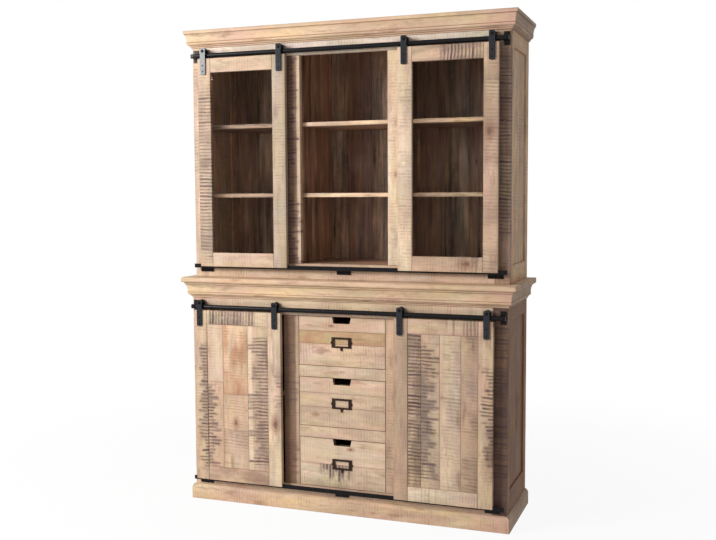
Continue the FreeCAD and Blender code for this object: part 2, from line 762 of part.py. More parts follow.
def door_hangers(tier, side, door_x):
    """Two straps with their axle bolts and rollers."""
    places = dict(zip(("left", "right"), strap_middles(door_x)))
    name = f"{tier.name}_{side}_door"
    save(name + "_straps", [strap(tier, x) for x in places.values()])
    save(name + "_axle_bolts", [axle_bolt(tier, x) for x in places.values()])
    for end, x in places.items():
        save(f"{name}_{end}_roller", [roller(tier, x)])


def doors():
    for side, door_x in UPPER.doors.items():
        glazed_door(UPPER, side, door_x)
        door_hangers(UPPER, side, door_x)
    shares = {"left": LEFT_DOOR_BOARD_SHARES, "right": RIGHT_DOOR_BOARD_SHARES}
    for side, door_x in LOWER.doors.items():
        boarded_door(LOWER, side, door_x, shares[side])
        door_hangers(LOWER, side, door_x)


# Drawers

def drawer_front(low, high):
    """An inset front with a finger cut in its top edge."""
    half = HALF_BAY - DRAWER_REVEAL
    y = (LOWER_FACE_Y, LOWER_FACE_Y + DRAWER_FRONT_THICKNESS)
    front = board((-half, half), y, (low, high), "x")
    slope = (FINGER_CUT_WIDTH - FINGER_CUT_FOOT) / 2 / FINGER_CUT_DEPTH
    top_half = FINGER_CUT_WIDTH / 2 + CUT * slope
    foot_half = FINGER_CUT_FOOT / 2
    cut_y = y[0] - CUT
    outline = [
        V(-top_half, cut_y, high + CUT),
        V(top_half, cut_y, high + CUT),
        V(foot_half, cut_y, high - FINGER_CUT_DEPTH),
        V(-foot_half, cut_y, high - FINGER_CUT_DEPTH),
    ]
    return front.cut(prism(outline, V(0, y[1] - y[0] + 2 * CUT, 0))).Solids[0]


def drawer_box(low):
    """Two sides and a back, with a thin bottom let in between them."""
    half = HALF_BAY - DRAWER_SIDE_CLEARANCE
    inner = half - DRAWER_SIDE_THICKNESS
    front_y = LOWER_FACE_Y + DRAWER_FRONT_THICKNESS
    back_y = BACK_FRONT_Y - DRAWER_BACK_ROOM
    back_inner = back_y - DRAWER_SIDE_THICKNESS
    z = (low, low + DRAWER_SIDE_HEIGHT)
    bottom_low = low + DRAWER_BOTTOM_RISE
    bottom_z = (bottom_low, bottom_low + DRAWER_BOTTOM_THICKNESS)
    return both_sides([box((inner, half), (front_y, back_y), z)]) + [
        box((-inner, inner), (back_inner, back_y), (bottom_z[1], z[1])),
        box((-inner, inner), (front_y, back_y), bottom_z),
    ]


def label_holder(middle_z):
    """A card holder: a plate with an open window and a raised lip, two ears and a pointed foot."""
    y = LOWER_FACE_Y
    half_w, half_h = LABEL_WIDTH / 2, LABEL_HEIGHT / 2
    window_w, window_h = LABEL_WINDOW_WIDTH / 2, LABEL_WINDOW_HEIGHT / 2
    deep = V(0, -LABEL_PLATE, 0)

    def block(half_x, half_z, front, thick):
        z = (middle_z - half_z, middle_z + half_z)
        return box((-half_x, half_x), (front, front + thick), z)

    plate = block(half_w, half_h, y - LABEL_PLATE, LABEL_PLATE)
    ears = [
        prism(
            [
                V(side * half_w, y, middle_z - LABEL_EAR_ROOT / 2),
                V(side * (half_w + LABEL_EAR), y, middle_z),
                V(side * half_w, y, middle_z + LABEL_EAR_ROOT / 2),
            ],
            deep,
        )
        for side in (-1, 1)
    ]
    bottom = middle_z - half_h
    tip = prism(
        [
            V(-LABEL_TIP_ROOT / 2, y, bottom),
            V(0, y, bottom - LABEL_TIP),
            V(LABEL_TIP_ROOT / 2, y, bottom),
        ],
        deep,
    )
    lip_front = y - LABEL_PLATE - LABEL_LIP
    lip = block(window_w + LABEL_LIP_WIDTH, window_h + LABEL_LIP_WIDTH, lip_front, LABEL_LIP)
    window = block(window_w, window_h, lip_front - CUT, LABEL_PLATE + LABEL_LIP + 2 * CUT)
    joined = plate.fuse(ears + [tip, lip]).removeSplitter()
    return joined.cut(window).Solids[0]


def drawers():
    names = ("bottom", "middle", "top")
    for n, name in enumerate(names):
        opening = LOWER_BOTTOM_RAIL + n * DRAWER_PITCH
        low, high = opening + DRAWER_LIFT, opening + DRAWER_OPENING - DRAWER_REVEAL
        save(name + "_drawer_front", [drawer_front(low, high)])
        save(name + "_drawer_box", drawer_box(opening + RUNNER_CLEARANCE))
        save(name + "_drawer_label_holder", [label_holder(high - LABEL_DROP)])


def main():
    os.makedirs("parts", exist_ok=True)
    upper_case()
    lower_case()
    mouldings()
    case_gear()
    doors()
    drawers()


main()
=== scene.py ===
import json
import math
from collections import namedtuple
from contextlib import contextmanager

import bpy
from bpy.props import FloatProperty, FloatVectorProperty, PointerProperty
from mathutils import Matrix, Vector

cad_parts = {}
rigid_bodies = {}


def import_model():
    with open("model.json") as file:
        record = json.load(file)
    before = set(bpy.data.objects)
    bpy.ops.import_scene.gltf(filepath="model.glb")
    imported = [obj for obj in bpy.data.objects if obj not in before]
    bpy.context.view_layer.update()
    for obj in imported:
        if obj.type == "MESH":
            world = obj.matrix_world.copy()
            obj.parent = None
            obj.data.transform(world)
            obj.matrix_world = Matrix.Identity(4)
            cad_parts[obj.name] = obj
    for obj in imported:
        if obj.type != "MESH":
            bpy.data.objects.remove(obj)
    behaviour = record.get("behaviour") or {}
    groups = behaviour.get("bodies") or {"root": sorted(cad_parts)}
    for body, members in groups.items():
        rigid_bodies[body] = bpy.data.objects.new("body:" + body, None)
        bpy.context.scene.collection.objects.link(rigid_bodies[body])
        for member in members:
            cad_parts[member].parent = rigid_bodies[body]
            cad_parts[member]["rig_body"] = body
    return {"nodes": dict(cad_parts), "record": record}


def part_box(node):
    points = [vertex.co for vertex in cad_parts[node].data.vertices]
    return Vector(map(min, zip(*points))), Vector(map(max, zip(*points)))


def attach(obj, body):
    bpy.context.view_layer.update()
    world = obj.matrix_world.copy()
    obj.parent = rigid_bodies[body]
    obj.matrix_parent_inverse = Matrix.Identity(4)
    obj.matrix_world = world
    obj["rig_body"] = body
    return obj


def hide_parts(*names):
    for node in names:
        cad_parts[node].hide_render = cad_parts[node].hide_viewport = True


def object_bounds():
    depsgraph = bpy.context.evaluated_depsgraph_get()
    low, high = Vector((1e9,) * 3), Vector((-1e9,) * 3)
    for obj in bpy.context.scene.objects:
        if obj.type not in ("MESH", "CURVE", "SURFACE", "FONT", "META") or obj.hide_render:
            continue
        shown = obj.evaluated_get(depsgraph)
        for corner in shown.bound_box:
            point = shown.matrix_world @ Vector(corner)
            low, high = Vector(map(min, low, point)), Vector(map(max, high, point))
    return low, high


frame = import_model()
CAD_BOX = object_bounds()
SLOTS = {row["node"]: row["material_slot"] for row in frame["record"]["subparts"]}

bl_info = {
    "name": "Sawn Wood Buffet Cabinet",
    "version": (1, 0, 0),
    "blender": (4, 5, 0),
    "location": "View3D > Sidebar > Cabinet",
    "description": "Boards, fittings and finishes of a buffet cabinet with sliding doors",
    "category": "Object",
}


# Sizes and colours that a user would change


def amount(name, description, value):
    return FloatProperty(name=name, description=description, default=value, min=0.0)


def length(name, description, metres):
    return FloatProperty(name=name, description=description, default=metres, min=0.0, unit="LENGTH")


def spot(name, description, metres):
    return FloatVectorProperty(
        name=name, description=description, default=metres, subtype="TRANSLATION", unit="LENGTH"
    )


def colour(name, description, rgb):
    return FloatVectorProperty(
        name=name,
        description=description,
        default=rgb,
        size=3,
        min=0.0,
        max=1.0,
        subtype="COLOR",
    )


class CabinetBoards(bpy.types.PropertyGroup):
    """Widths, thicknesses and edges of the boards."""

    stile: length("Stile", "Width of the outer stiles of the face frames", 0.060)
    mullion: length("Mullion", "Width of the uprights between the bays", 0.072)
    partition: length("Partition", "Thickness of the walls between the bays", 0.020)
    upper_top_rail: length("Upper top rail", "Height of the upper case's top rail", 0.110)
    lower_top_rail: length("Lower top rail", "Height of the lower case's top rail", 0.132)
    drawer_rail: length("Drawer rail", "Height of the rails between the drawers", 0.050)
    side_front: length("Side front stile", "Width of the front stile of a side", 0.033)
    side_back: length("Side back stile", "Width of the back stile of a side", 0.058)
    side_recess: length("Side recess", "How far the side panels lie behind their frames", 0.007)
    side_panel: length("Side panel", "Thickness of the side panels", 0.010)
    upper_side_foot: length("Upper side foot", "Height of an upper side's bottom rail", 0.075)
    upper_side_head: length("Upper side head", "Height of an upper side's top rail", 0.119)
    lower_side_foot: length("Lower side foot", "Height of a lower side's bottom rail", 0.160)
    lower_side_head: length("Lower side head", "Height of a lower side's top rail", 0.129)
    shelf: length("Shelf", "Thickness of the shelves", 0.018)
    shelf_pitch: length("Shelf pitch", "Distance between the upper shelves", 0.304)
    door_member: length("Door member", "Width of the door stiles and rails", 0.062)
    glass_lip: length("Glass lip", "Wood in front of the glass", 0.010)
    rebate: length("Rebate", "Width of the rebate that holds the glass", 0.008)
    groove: length("Guide groove", "Width of the groove in the doors' bottom edges", 0.0064)
    groove_depth: length("Groove depth", "Depth of the groove in the doors", 0.014)
    finger_top: length("Finger cut top", "Width of a drawer's finger cut at its top", 0.087)
    finger_foot: length("Finger cut foot", "Width of a drawer's finger cut at its foot", 0.075)
    finger_depth: length("Finger cut depth", "Depth of a drawer's finger cut", 0.028)
    box_side: length("Box side", "Thickness of a drawer box's sides and back", 0.012)
    box_bottom: length("Box bottom", "Thickness of a drawer box's bottom", 0.006)
    box_bottom_rise: length("Box bottom rise", "Height of the bottom over the sides' feet", 0.008)
    worn_edge: length("Worn edge", "Size of the rubbed edges of a board", 0.0014)
    glued_edge: length("Glued edge", "Size of the edges where boards are glued together", 0.0006)
    slab_edge: length("Slab edge", "Rounding of the waist slab", 0.006)
    waver: length("Waver", "How far a sawn face wavers from flat", 0.0003)
    waver_step: length("Waver step", "Distance between the wavers along a board", 0.055)
    overrun: length("Overrun", "How far a cut runs past what it cuts", 0.010)


class CabinetMouldings(bpy.types.PropertyGroup):
    """Steps and curves of the cornice, the waist and the plinth."""

    cornice_lip: length("Cornice lip", "Height of the cornice's top fillet", 0.014)
    waist_lip: length("Waist lip", "Height of the waist moulding's top fillet", 0.008)
    plinth_round: length("Plinth round", "Height of the round on the plinth's top edge", 0.020)
    miter_gap: length("Mitre gap", "Width of the joint line at a mitre", 0.0005)


class CabinetIron(bpy.types.PropertyGroup):
    """Edges and small shapes of the black fittings."""

    soft_edge: length("Soft edge", "Rounding of the fittings' edges", 0.0005)
    groove_radius: length("Groove radius", "Radius at the bottom of a roller's groove", 0.0055)
    roller_rim: length("Roller rim", "Width of a roller's rim beside the groove", 0.0022)
    bore: length("Bore", "Radius of a roller's bore", 0.0041)
    head_radius: length("Head radius", "Radius of the round head of an axle bolt", 0.0065)
    head_rise: length("Head rise", "Height of the head of an axle bolt", 0.0050)
    socket_radius: length("Socket radius", "Radius of the hexagon socket in a bolt", 0.0040)
    socket_depth: length("Socket depth", "Depth of the hexagon socket in a bolt", 0.0028)
    screw_radius: length("Screw radius", "Radius of a wood screw's head", 0.0036)
    screw_rise: length("Screw rise", "Height of a wood screw's head", 0.0016)
    slot_width: length("Slot width", "Width of the cross recess in a screw", 0.0012)
    slot_depth: length("Slot depth", "Depth of the cross recess in a screw", 0.0010)
    strap_screw_low: length("Low strap screw", "Low screw's height over a strap's foot", 0.014)
    strap_screw_high: length("High strap screw", "High screw's height over a strap's foot", 0.040)
    plate_screw: length("Plate screw", "Distance of a bracket's screws from the rail's axis", 0.019)
    tab_screw: length("Tab screw", "Distance of a tab's screws from its middle", 0.018)
    label_screw: length("Label screw", "Distance of a label holder's screws from its ends", 0.0085)
    plate: length("Plate", "Thickness of a bracket's plate", 0.0035)
    tab: length("Tab", "Thickness of a guide bar's tabs", 0.0030)
    end_bolt: length("End bolt", "Radius of the bolts at a rail's ends", 0.0075)


class CabinetFinish(bpy.types.PropertyGroup):
    """Tones of the wood, the iron and the glass."""

    chalk: colour("Chalk", "Whitish boards", (0.690, 0.580, 0.470))
    # Cream also paints the lit strip along the left mullions' edge, beside their painted door shade
    cream: colour("Cream", "Pale sapwood", (0.690, 0.535, 0.380))
    honey: colour("Honey", "Warm yellow-brown boards", (0.620, 0.432, 0.282))
    straw: colour("Straw", "Pale boards with a brown breath", (0.620, 0.465, 0.325))
    tan: colour("Tan", "Common tone of the boards", (0.560, 0.395, 0.270))
    clay: colour("Clay", "Darker tan boards", (0.440, 0.300, 0.205))
    rose: colour("Rose", "Pinkish boards", (0.580, 0.375, 0.265))
    rust: colour("Rust", "Orange-red heartwood", (0.480, 0.240, 0.140))
    olive: colour("Olive", "Greenish-yellow boards", (0.500, 0.370, 0.205))
    ash: colour("Ash", "Greyish boards", (0.430, 0.335, 0.250))
    amber: colour("Amber", "Warm boards of the sides", (0.800, 0.530, 0.320))
    bark: colour("Bark", "Deep brown boards of the side in the shade", (0.260, 0.118, 0.042))
    # Umber is painted shade on the mullions and the stile that lie in a door's shadow, and a plain
    # dark brown on the other boards
    umber: colour("Umber", "Brown boards in the shade of a door", (0.215, 0.118, 0.072))
    soot: colour("Soot", "Burnt saw marks and knots", (0.070, 0.040, 0.042))
    walnut: colour("Walnut", "Brown lacquer of the inside", (0.385, 0.240, 0.158))
    walnut_red: colour("Red walnut", "Redder boards of the inside", (0.310, 0.168, 0.108))
    walnut_deep: colour("Deep walnut", "Darkest boards of the inside", (0.150, 0.090, 0.064))
    iron: colour("Iron", "Black coat of the rails and bars", (0.006, 0.005, 0.006))
    steel: colour("Steel", "Blackened steel of the straps", (0.009, 0.010, 0.015))
    bronze: colour("Bronze", "Dark coat of the label holders", (0.030, 0.016, 0.009))


class CabinetStudio(bpy.types.PropertyGroup):
    """Camera and light."""

    camera_place: spot("Camera place", "Where the camera stands", (1.4826, -3.9954, 1.3802))
    camera_turn: FloatVectorProperty(
        name="Camera turn",
        description="Yaw to the left, pitch down and roll of the camera",
        default=(math.radians(20.24), math.radians(4.52), math.radians(-0.29)),
        subtype="EULER",
        unit="ROTATION",
    )
    lens: amount("Lens", "Focal length in millimetres", 48.68)
    key_place: spot("Key place", "Where the big soft lamp hangs", (-3.5, -3.4, 2.9))
    key_width: length("Key width", "Width of the big soft lamp", 2.2)
    key_height: length("Key height", "Height of the big soft lamp", 1.8)
    key_power: amount("Key power", "Watts of the big soft lamp", 305.0)
    sky: amount("Sky", "Strength of the light from all round", 0.32)
    floor_size: length("Floor size", "Edge of the pale floor", 30.0)


SETTINGS = {
    "cabinet_boards": CabinetBoards,
    "cabinet_mouldings": CabinetMouldings,
    "cabinet_iron": CabinetIron,
    "cabinet_finish": CabinetFinish,
    "cabinet_studio": CabinetStudio,
}


# Node sheets for the finishes


class Value:
    """A number on a node sheet that takes part in sums as a plain number does."""

    def __init__(self, sheet, socket):
        self.sheet, self.socket = sheet, socket

    def __add__(self, other):
        return self.sheet.math("ADD", self, other)

    def __sub__(self, other):
        return self.sheet.math("SUBTRACT", self, other)

    def __mul__(self, other):
        return self.sheet.math("MULTIPLY", self, other)

    def __truediv__(self, other):
        return self.sheet.math("DIVIDE", self, other)


class Sheet:
    """A node tree with short ways to add and join its nodes."""

    def __init__(self, tree):
        self.tree = tree

    def feed(self, socket, value):
        if isinstance(value, Value):
            value = value.socket
        if isinstance(value, bpy.types.NodeSocket):
            self.tree.links.new(value, socket)
        elif value is not None:
            socket.default_value = value

    def add(self, kind, *values, **settings):
        """A node with these settings, and with these values in its first inputs."""
        node = self.tree.nodes.new(kind)
        for name, value in settings.items():
            setattr(node, name, value)
        for socket, value in zip(node.inputs, values):
            self.feed(socket, value)
        return node

    def math(self, operation, *values):
        return Value(self, self.add("ShaderNodeMath", *values, operation=operation).outputs[0])

    def greatest(self, first, *others):
        for other in others:
            first = self.math("MAXIMUM", first, other)
        return first

    def vector(self, operation, *values):
        return self.add("ShaderNodeVectorMath", *values, operation=operation).outputs[0]

    def scaled(self, vector, factor):
        return self.vector("SCALE", vector, None, None, factor)

    def ramp(self, value, low, high, out_low=0.0, out_high=1.0):
        """A smooth step from one value to another between two limits."""
        values = (value, low, high, out_low, out_high)
        node = self.add("ShaderNodeMapRange", *values, interpolation_type="SMOOTHSTEP")
        return Value(self, node.outputs["Result"])

    def mix(self, factor, first, second):
        """A blend of two colours."""
        node = self.add("ShaderNodeMix", factor, data_type="RGBA")
        self.feed(node.inputs[6], first)
        self.feed(node.inputs[7], second)
        return node.outputs[2]

    def noise(self, vector, scale, detail=2.0, roughness=0.5, distortion=0.0, output="Fac"):
        node = self.add("ShaderNodeTexNoise", vector, None, scale, detail, roughness)
        node.inputs["Distortion"].default_value = distortion
        return Value(self, node.outputs[output])

    def chance(self, number):
        """Three chance values that belong to a number."""
        node = self.add("ShaderNodeTexWhiteNoise", None, number, noise_dimensions="1D")
        return node.outputs["Color"]

    def parts(self, vector):
        """The three numbers of a vector or a colour."""
        return [Value(self, part) for part in self.add("ShaderNodeSeparateXYZ", vector).outputs]

    def place(self):
        """Where a point lies on its object."""
        return self.add("ShaderNodeTexCoord").outputs["Object"]

    def group(self, name, **values):
        node = self.add("ShaderNodeGroup", node_tree=bpy.data.node_groups[name])
        for title, value in values.items():
            self.feed(node.inputs[title], value)
        return node.outputs


def new_group(name, vectors, colours, numbers):
    """A group that puts out a colour, a roughness and a height: its sheet and its two ends."""
    tree = bpy.data.node_groups.new(name, "ShaderNodeTree")
    for way, kind, titles in (
        ("INPUT", "Vector", vectors),
        ("INPUT", "Color", colours),
        ("INPUT", "Float", numbers),
        ("OUTPUT", "Color", ("Color",)),
        ("OUTPUT", "Float", ("Roughness", "Height")),
    ):
        for title in titles:
            tree.interface.new_socket(title, in_out=way, socket_type="NodeSocket" + kind)
    sheet = Sheet(tree)
    given = {socket.name: Value(sheet, socket) for socket in sheet.add("NodeGroupInput").outputs}
    return sheet, given, sheet.add("NodeGroupOutput").inputs


# The saw's rows of burnt strokes, wide lines and fine lines, its slant and its waver
STROKE_PITCH, WIDE_PITCH, FINE_PITCH = 0.0148, 0.0131, 0.0047
SAW_SLANT, SAW_WAVER = 0.12, 0.010
# Where strokes begin and end along a board as shares, and how far they reach across it
ALL_ALONG = (-0.1, 1.1, 0.7)
# Each noise in the wood: its stretch, scale, detail, roughness and distortion
WOOD_NOISES = {
    "fibre": ((1, 1, 0.035), 260.0, 3.0, 0.6),
    "figure": ((1, 1, 0.09), 17.0, 2.0, 0.5, 0.9),
    "patch": ((1, 1, 0.4), 12.0, 3.0, 0.6),
    "smudge": ((1, 1, 0.22), 34.0, 3.0, 0.6),
    "zone": ((0.5, 0.2, 1), 5.5, 1.0),
    "streak": ((1, 1, 0.06), 80.0, 4.0, 0.7),
    "ragged": ((1, 1, 1), 90.0),
    "broken": ((0.4, 0.4, 1), 110.0),
    "waver": ((1, 1, 1), 14.0, 1.0),
    "cloud": ((1, 1, 0.30), 23.0, 4.0, 0.65),
    "grit": ((1, 1, 0.45), 80.0, 3.0, 0.65),
}


def saw_rows(sheet, line, pitch, salt):
    """How far a point is from the middle of its row across the board, and the row's chances."""
    row = line / pitch
    offset = sheet.math("ABSOLUTE", sheet.math("FRACT", row) - 0.5)
    return offset, sheet.parts(sheet.chance(sheet.math("FLOOR", row) + salt))


def make_sawn_board(finish):
    """Sawn wood on a board that knows its own middle, half sizes, tone and chance number."""
    sheet, given, made = new_group(
        "Sawn Board",
        ("Place", "Half", "Burn", "Knot"),
        ("Tint", "Stain"),
        ("Crease", "Saw", "Strokes", "Blotch", "Side", "Sap", "Seed", "Polish", "Streak"),
    )
    ramp, seed = sheet.ramp, given["Seed"]
    across, through, along = sheet.parts(given["Place"])
    half_across, half_through, half_along = sheet.parts(given["Half"])
    wood = sheet.vector("ADD", given["Place"], sheet.scaled(sheet.chance(seed), 9.0))
    fibre, figure, patch, smudge, zone, streak, ragged, broken, waver, cloud, grit = (
        sheet.noise(sheet.vector("MULTIPLY", wood, stretch), *values)
        for stretch, *values in WOOD_NOISES.values()
    )

    # The saw crosses the board at a small angle, and its rows waver
    slant = (sheet.parts(sheet.chance(seed + 3.1))[0] - 0.5) * SAW_SLANT
    line = across * slant + along + waver * SAW_WAVER
    offset, chances = saw_rows(sheet, line, STROKE_PITCH, seed * 571.0)
    stroke = ramp(offset - chances[0] * 0.17, 0.09, 0.25, 1.0, 0.0)
    stroke = stroke * ramp(broken, 0.25, 0.50, 0.55, 1.0)

    # Each stroke starts at one edge of the board and runs out before the other
    start, end, mean = sheet.parts(given["Burn"])
    place_across = across / half_across
    run = place_across * (given["Side"] * -1.0 + 0.5) + ragged * 0.24
    reach = chances[1] * 0.7 + zone * 0.5 + mean
    cover = ramp(run - reach, -1.14, -0.92, 1.0, 0.0)
    place_along = along / half_along * 0.5 + zone * 0.08
    begun = ramp(place_along - start, -0.49, -0.43)
    ended = ramp(place_along - end, -0.49, -0.43, 1.0, 0.0)
    present = ramp(zone + given["Strokes"] * 0.46, 0.60, 0.78) * begun * ended
    smoke = present * sheet.math("MINIMUM", given["Strokes"] * 1.4, 1.0) * cover
    stroke = stroke * (chances[2] * 0.40 + 0.60) * smoke
    smoke = smoke * ramp(patch, 0.36, 0.60, 0.10, 0.50)

    # Lines of the blade between the strokes, wide and fine
    offset, chances = saw_rows(sheet, line, WIDE_PITCH, salt=7.0)
    wide = ramp(offset, 0.16, 0.42) * ramp(patch, 0.34, 0.54) * ramp(broken, 0.30, 0.56)
    wide = wide * (chances[0] * 0.9 + 0.1)
    offset, _ = saw_rows(sheet, line, FINE_PITCH, salt=0.0)
    fine = ramp(offset, 0.20, 0.46) * ramp(patch, 0.34, 0.6, 0.0, 0.4)
    fine = sheet.greatest(fine, wide) * given["Saw"]

    # Blotches, sapwood along one edge, which on the left mullions is a painted lit strip, and a few
    # knots
    blotch = ramp(patch, 0.42, 0.64) * given["Blotch"]
    sap_and_lit_place = place_across * sheet.math("SIGN", given["Sap"]) + figure * 0.5
    sap = sheet.math("ABSOLUTE", ramp(sap_and_lit_place, 0.72, 0.95) * given["Sap"])
    stretched = sheet.vector("MULTIPLY", wood, (1, 1, 0.42))
    cells = sheet.add("ShaderNodeTexVoronoi", stretched, None, 11.0, feature="F1")
    cells.inputs["Randomness"].default_value = 0.8
    picked = ramp(sheet.parts(cells.outputs["Color"])[0], 0.76, 0.78)
    knot = fibre * 0.05 + cells.outputs["Distance"]
    heart = ramp(knot, 0.05, 0.13, 1.0, 0.0) * picked
    halo = ramp(knot, 0.08, 0.36, 1.0, 0.0) * picked

    # One knot at a given place on the board, with the grain curled round it
    knot_across, knot_along, radius = sheet.parts(given["Knot"])
    placed = sheet.math("GREATER_THAN", radius, 0.001)
    aside, up = across - knot_across, (along - knot_along) * 0.55
    away = sheet.math("SQRT", aside * aside + up * up) + (ragged - 0.5) * 0.016
    core_spot = ramp(away - radius, -0.005, 0.003, 0.60, 0.0) * placed
    wide_spot = ramp(away / radius, 0.8, 3.8, 1.0, 0.0) * placed
    curl = wide_spot * (sheet.math("SINE", away * 900.0) * 0.35 + 0.55)
    heart = sheet.greatest(heart, core_spot)
    halo = sheet.greatest(halo, wide_spot)

    # How far a point on the surface is from the nearest edge of its board
    first, second, third = (
        half - sheet.math("ABSOLUTE", place)
        for half, place in (
            (half_across, across),
            (half_through, through),
            (half_along, along),
        )
    )
    outer = sheet.math("MINIMUM", sheet.greatest(first, second), third)
    edge = sheet.greatest(sheet.math("MINIMUM", first, second), outer)
    joint = ramp(edge, 0.0002, 0.0022, 0.70, 0.0)
    grime = ramp(edge, 0.0, 0.014, 0.45, 0.0) * patch
    end_grain = ramp(third, 0.0, 0.0012, 0.35, 0.0)

    # The tone wanders over the board before the marks go on it
    vein = (streak + figure - 1.0) * given["Streak"]
    light = (fibre + figure) * 0.34 + vein + cloud * 0.80 + grit * 0.40 + 0.06
    stretched = sheet.vector("MULTIPLY", wood, (1, 1, 0.22))
    hues = sheet.noise(stretched, 19.0, 4.0, output="Color")
    wander = sheet.vector("MULTIPLY_ADD", hues, (0.30, 0.42, 0.56), (0.85, 0.79, 0.72))
    tone = sheet.scaled(sheet.vector("MULTIPLY", given["Tint"], wander), light)
    tone = sheet.mix(blotch, tone, given["Stain"])
    # Cream along one edge: sapwood, and on the left mullions a painted lit strip beside their
    # painted door shade
    tone = sheet.mix(sap, tone, (*finish.cream, 1.0))
    tone = sheet.mix(halo * 0.45, tone, (*finish.rust, 1.0))
    shade = sheet.vector("MULTIPLY", tone, (0.48, 0.38, 0.34))
    smudge = ramp(smudge, 0.53, 0.72, 0.0, 0.70)
    # Crease is painted shade in the steps of the mouldings; the other dark marks are the wood's saw
    # lines, joints, knot rings, dirt, end grain and smudges
    dark = sheet.greatest(fine * 0.80, joint, curl, given["Crease"], grime, end_grain, smudge)
    tone = sheet.mix(dark, tone, shade)
    burnt = sheet.greatest(stroke * 0.96, heart, smoke)
    sheet.feed(made["Color"], sheet.mix(burnt, tone, (*finish.soot, 1.0)))
    sheet.feed(made["Roughness"], fibre * 0.20 + 0.52 - given["Polish"])
    sheet.feed(made["Height"], fibre * 0.25 - fine * 0.35 - stroke * 0.6)


def make_powder_coat():
    """The grain and the thin places of a black coat."""
    sheet, given, made = new_group("Powder Coat", ("Place",), ("Tint",), ("Dull",))
    cloud = sheet.noise(given["Place"], 22.0, 3.0, 0.6)
    sheet.feed(made["Color"], sheet.scaled(given["Tint"], cloud * 1.1 + 0.45))
    sheet.feed(made["Roughness"], cloud * 0.12 + given["Dull"])
    sheet.feed(made["Height"], sheet.noise(given["Place"], 900.0))


def new_material(name, **values):
    """A material with these values in its surface shader, its sheet of nodes, and the shader."""
    material = bpy.data.materials.new(name)
    material.use_nodes = True
    surface = material.node_tree.nodes["Principled BSDF"]
    for title, value in values.items():
        surface.inputs[title.replace("_", " ")].default_value = value
    return material, Sheet(material.node_tree), surface


BOARD_DEPTH, COAT_DEPTH = 0.0008, 0.00002


def lay_on(sheet, surface, made, depth):
    """Joins a group's colour, roughness and height to the surface shader."""
    bump = sheet.add("ShaderNodeBump")
    bump.inputs["Distance"].default_value = depth
    bump.inputs["Strength"].default_value = 0.8
    sheet.feed(bump.inputs["Height"], made["Height"])
    sheet.feed(surface.inputs["Base Color"], made["Color"])
    sheet.feed(surface.inputs["Roughness"], made["Roughness"])
    sheet.feed(surface.inputs["Normal"], bump.outputs["Normal"])


def board_material(name, polish, gloss, streak):
    """Wood that reads the place and the look written on each board."""
    _, sheet, surface = new_material(name, Specular_IOR_Level=gloss)
    place, half, burn, knot, crease, tint, stain, marks = (
        sheet.add("ShaderNodeAttribute", attribute_name=title).outputs
        for title in ("place", "half", "burn", "knot", "crease", "tint", "stain", "marks")
    )
    saw, strokes, blotch = sheet.add("ShaderNodeSeparateColor", marks["Color"]).outputs
    made = sheet.group(
        "Sawn Board",
        Place=place["Vector"],
        Half=half["Vector"],
        Burn=burn["Vector"],
        Knot=knot["Vector"],
        Crease=crease["Fac"],
        Tint=tint["Color"],
        Side=tint["Alpha"],
        Stain=stain["Color"],
        Sap=stain["Alpha"],
        Saw=saw,
        Strokes=strokes,
        Blotch=blotch,
        Seed=marks["Alpha"],
        Polish=polish,
        Streak=streak,
    )
    lay_on(sheet, surface, made, BOARD_DEPTH)


def plain_board_material(name, tint):
    """Wood for the frame's own shapes, laid out from the middle of the cabinet."""
    material, sheet, surface = new_material(name)
    made = sheet.group(
        "Sawn Board",
        Place=sheet.place(),
        Half=(1.0, 1.0, 3.0),
        Burn=ALL_ALONG,
        Tint=(*tint, 1.0),
        Stain=(*tint, 1.0),
        Saw=0.6,
        Strokes=0.2,
        Seed=0.4,
        Side=0.5,
        Streak=0.4,
    )
    lay_on(sheet, surface, made, BOARD_DEPTH)
    return material


def iron_material(name, tint, dull, gloss):
    _, sheet, surface = new_material(name, Specular_IOR_Level=gloss)
    made = sheet.group("Powder Coat", Place=sheet.place(), Tint=(*tint, 1.0), Dull=dull)
    lay_on(sheet, surface, made, COAT_DEPTH)


def glass_material(name):
    """Clear panes with a faint smear."""
    _, sheet, surface = new_material(
        name, Transmission_Weight=1.0, IOR=1.45, Specular_Tint=(0.01, 0.01, 0.01, 1.0)
    )
    smear = sheet.noise(sheet.place(), 7.0, 3.0, 0.6)
    sheet.feed(surface.inputs["Roughness"], sheet.ramp(smear, 0.35, 0.8, 0.0, 0.008))
    tone = sheet.mix(smear, (0.92, 0.91, 0.90, 1.0), (0.87, 0.86, 0.85, 1.0))
    sheet.feed(surface.inputs["Base Color"], tone)


def finish_of(slot):
    """The material that the record's slot is shown in."""
    names = {"black_iron": "Black Powder Coat", "clear_glass": "Clear Glass"}
    default = "Stained Inner Board" if slot == "inner_wood" else "Sawn Board Lacquer"
    return bpy.data.materials[names.get(slot, default)]


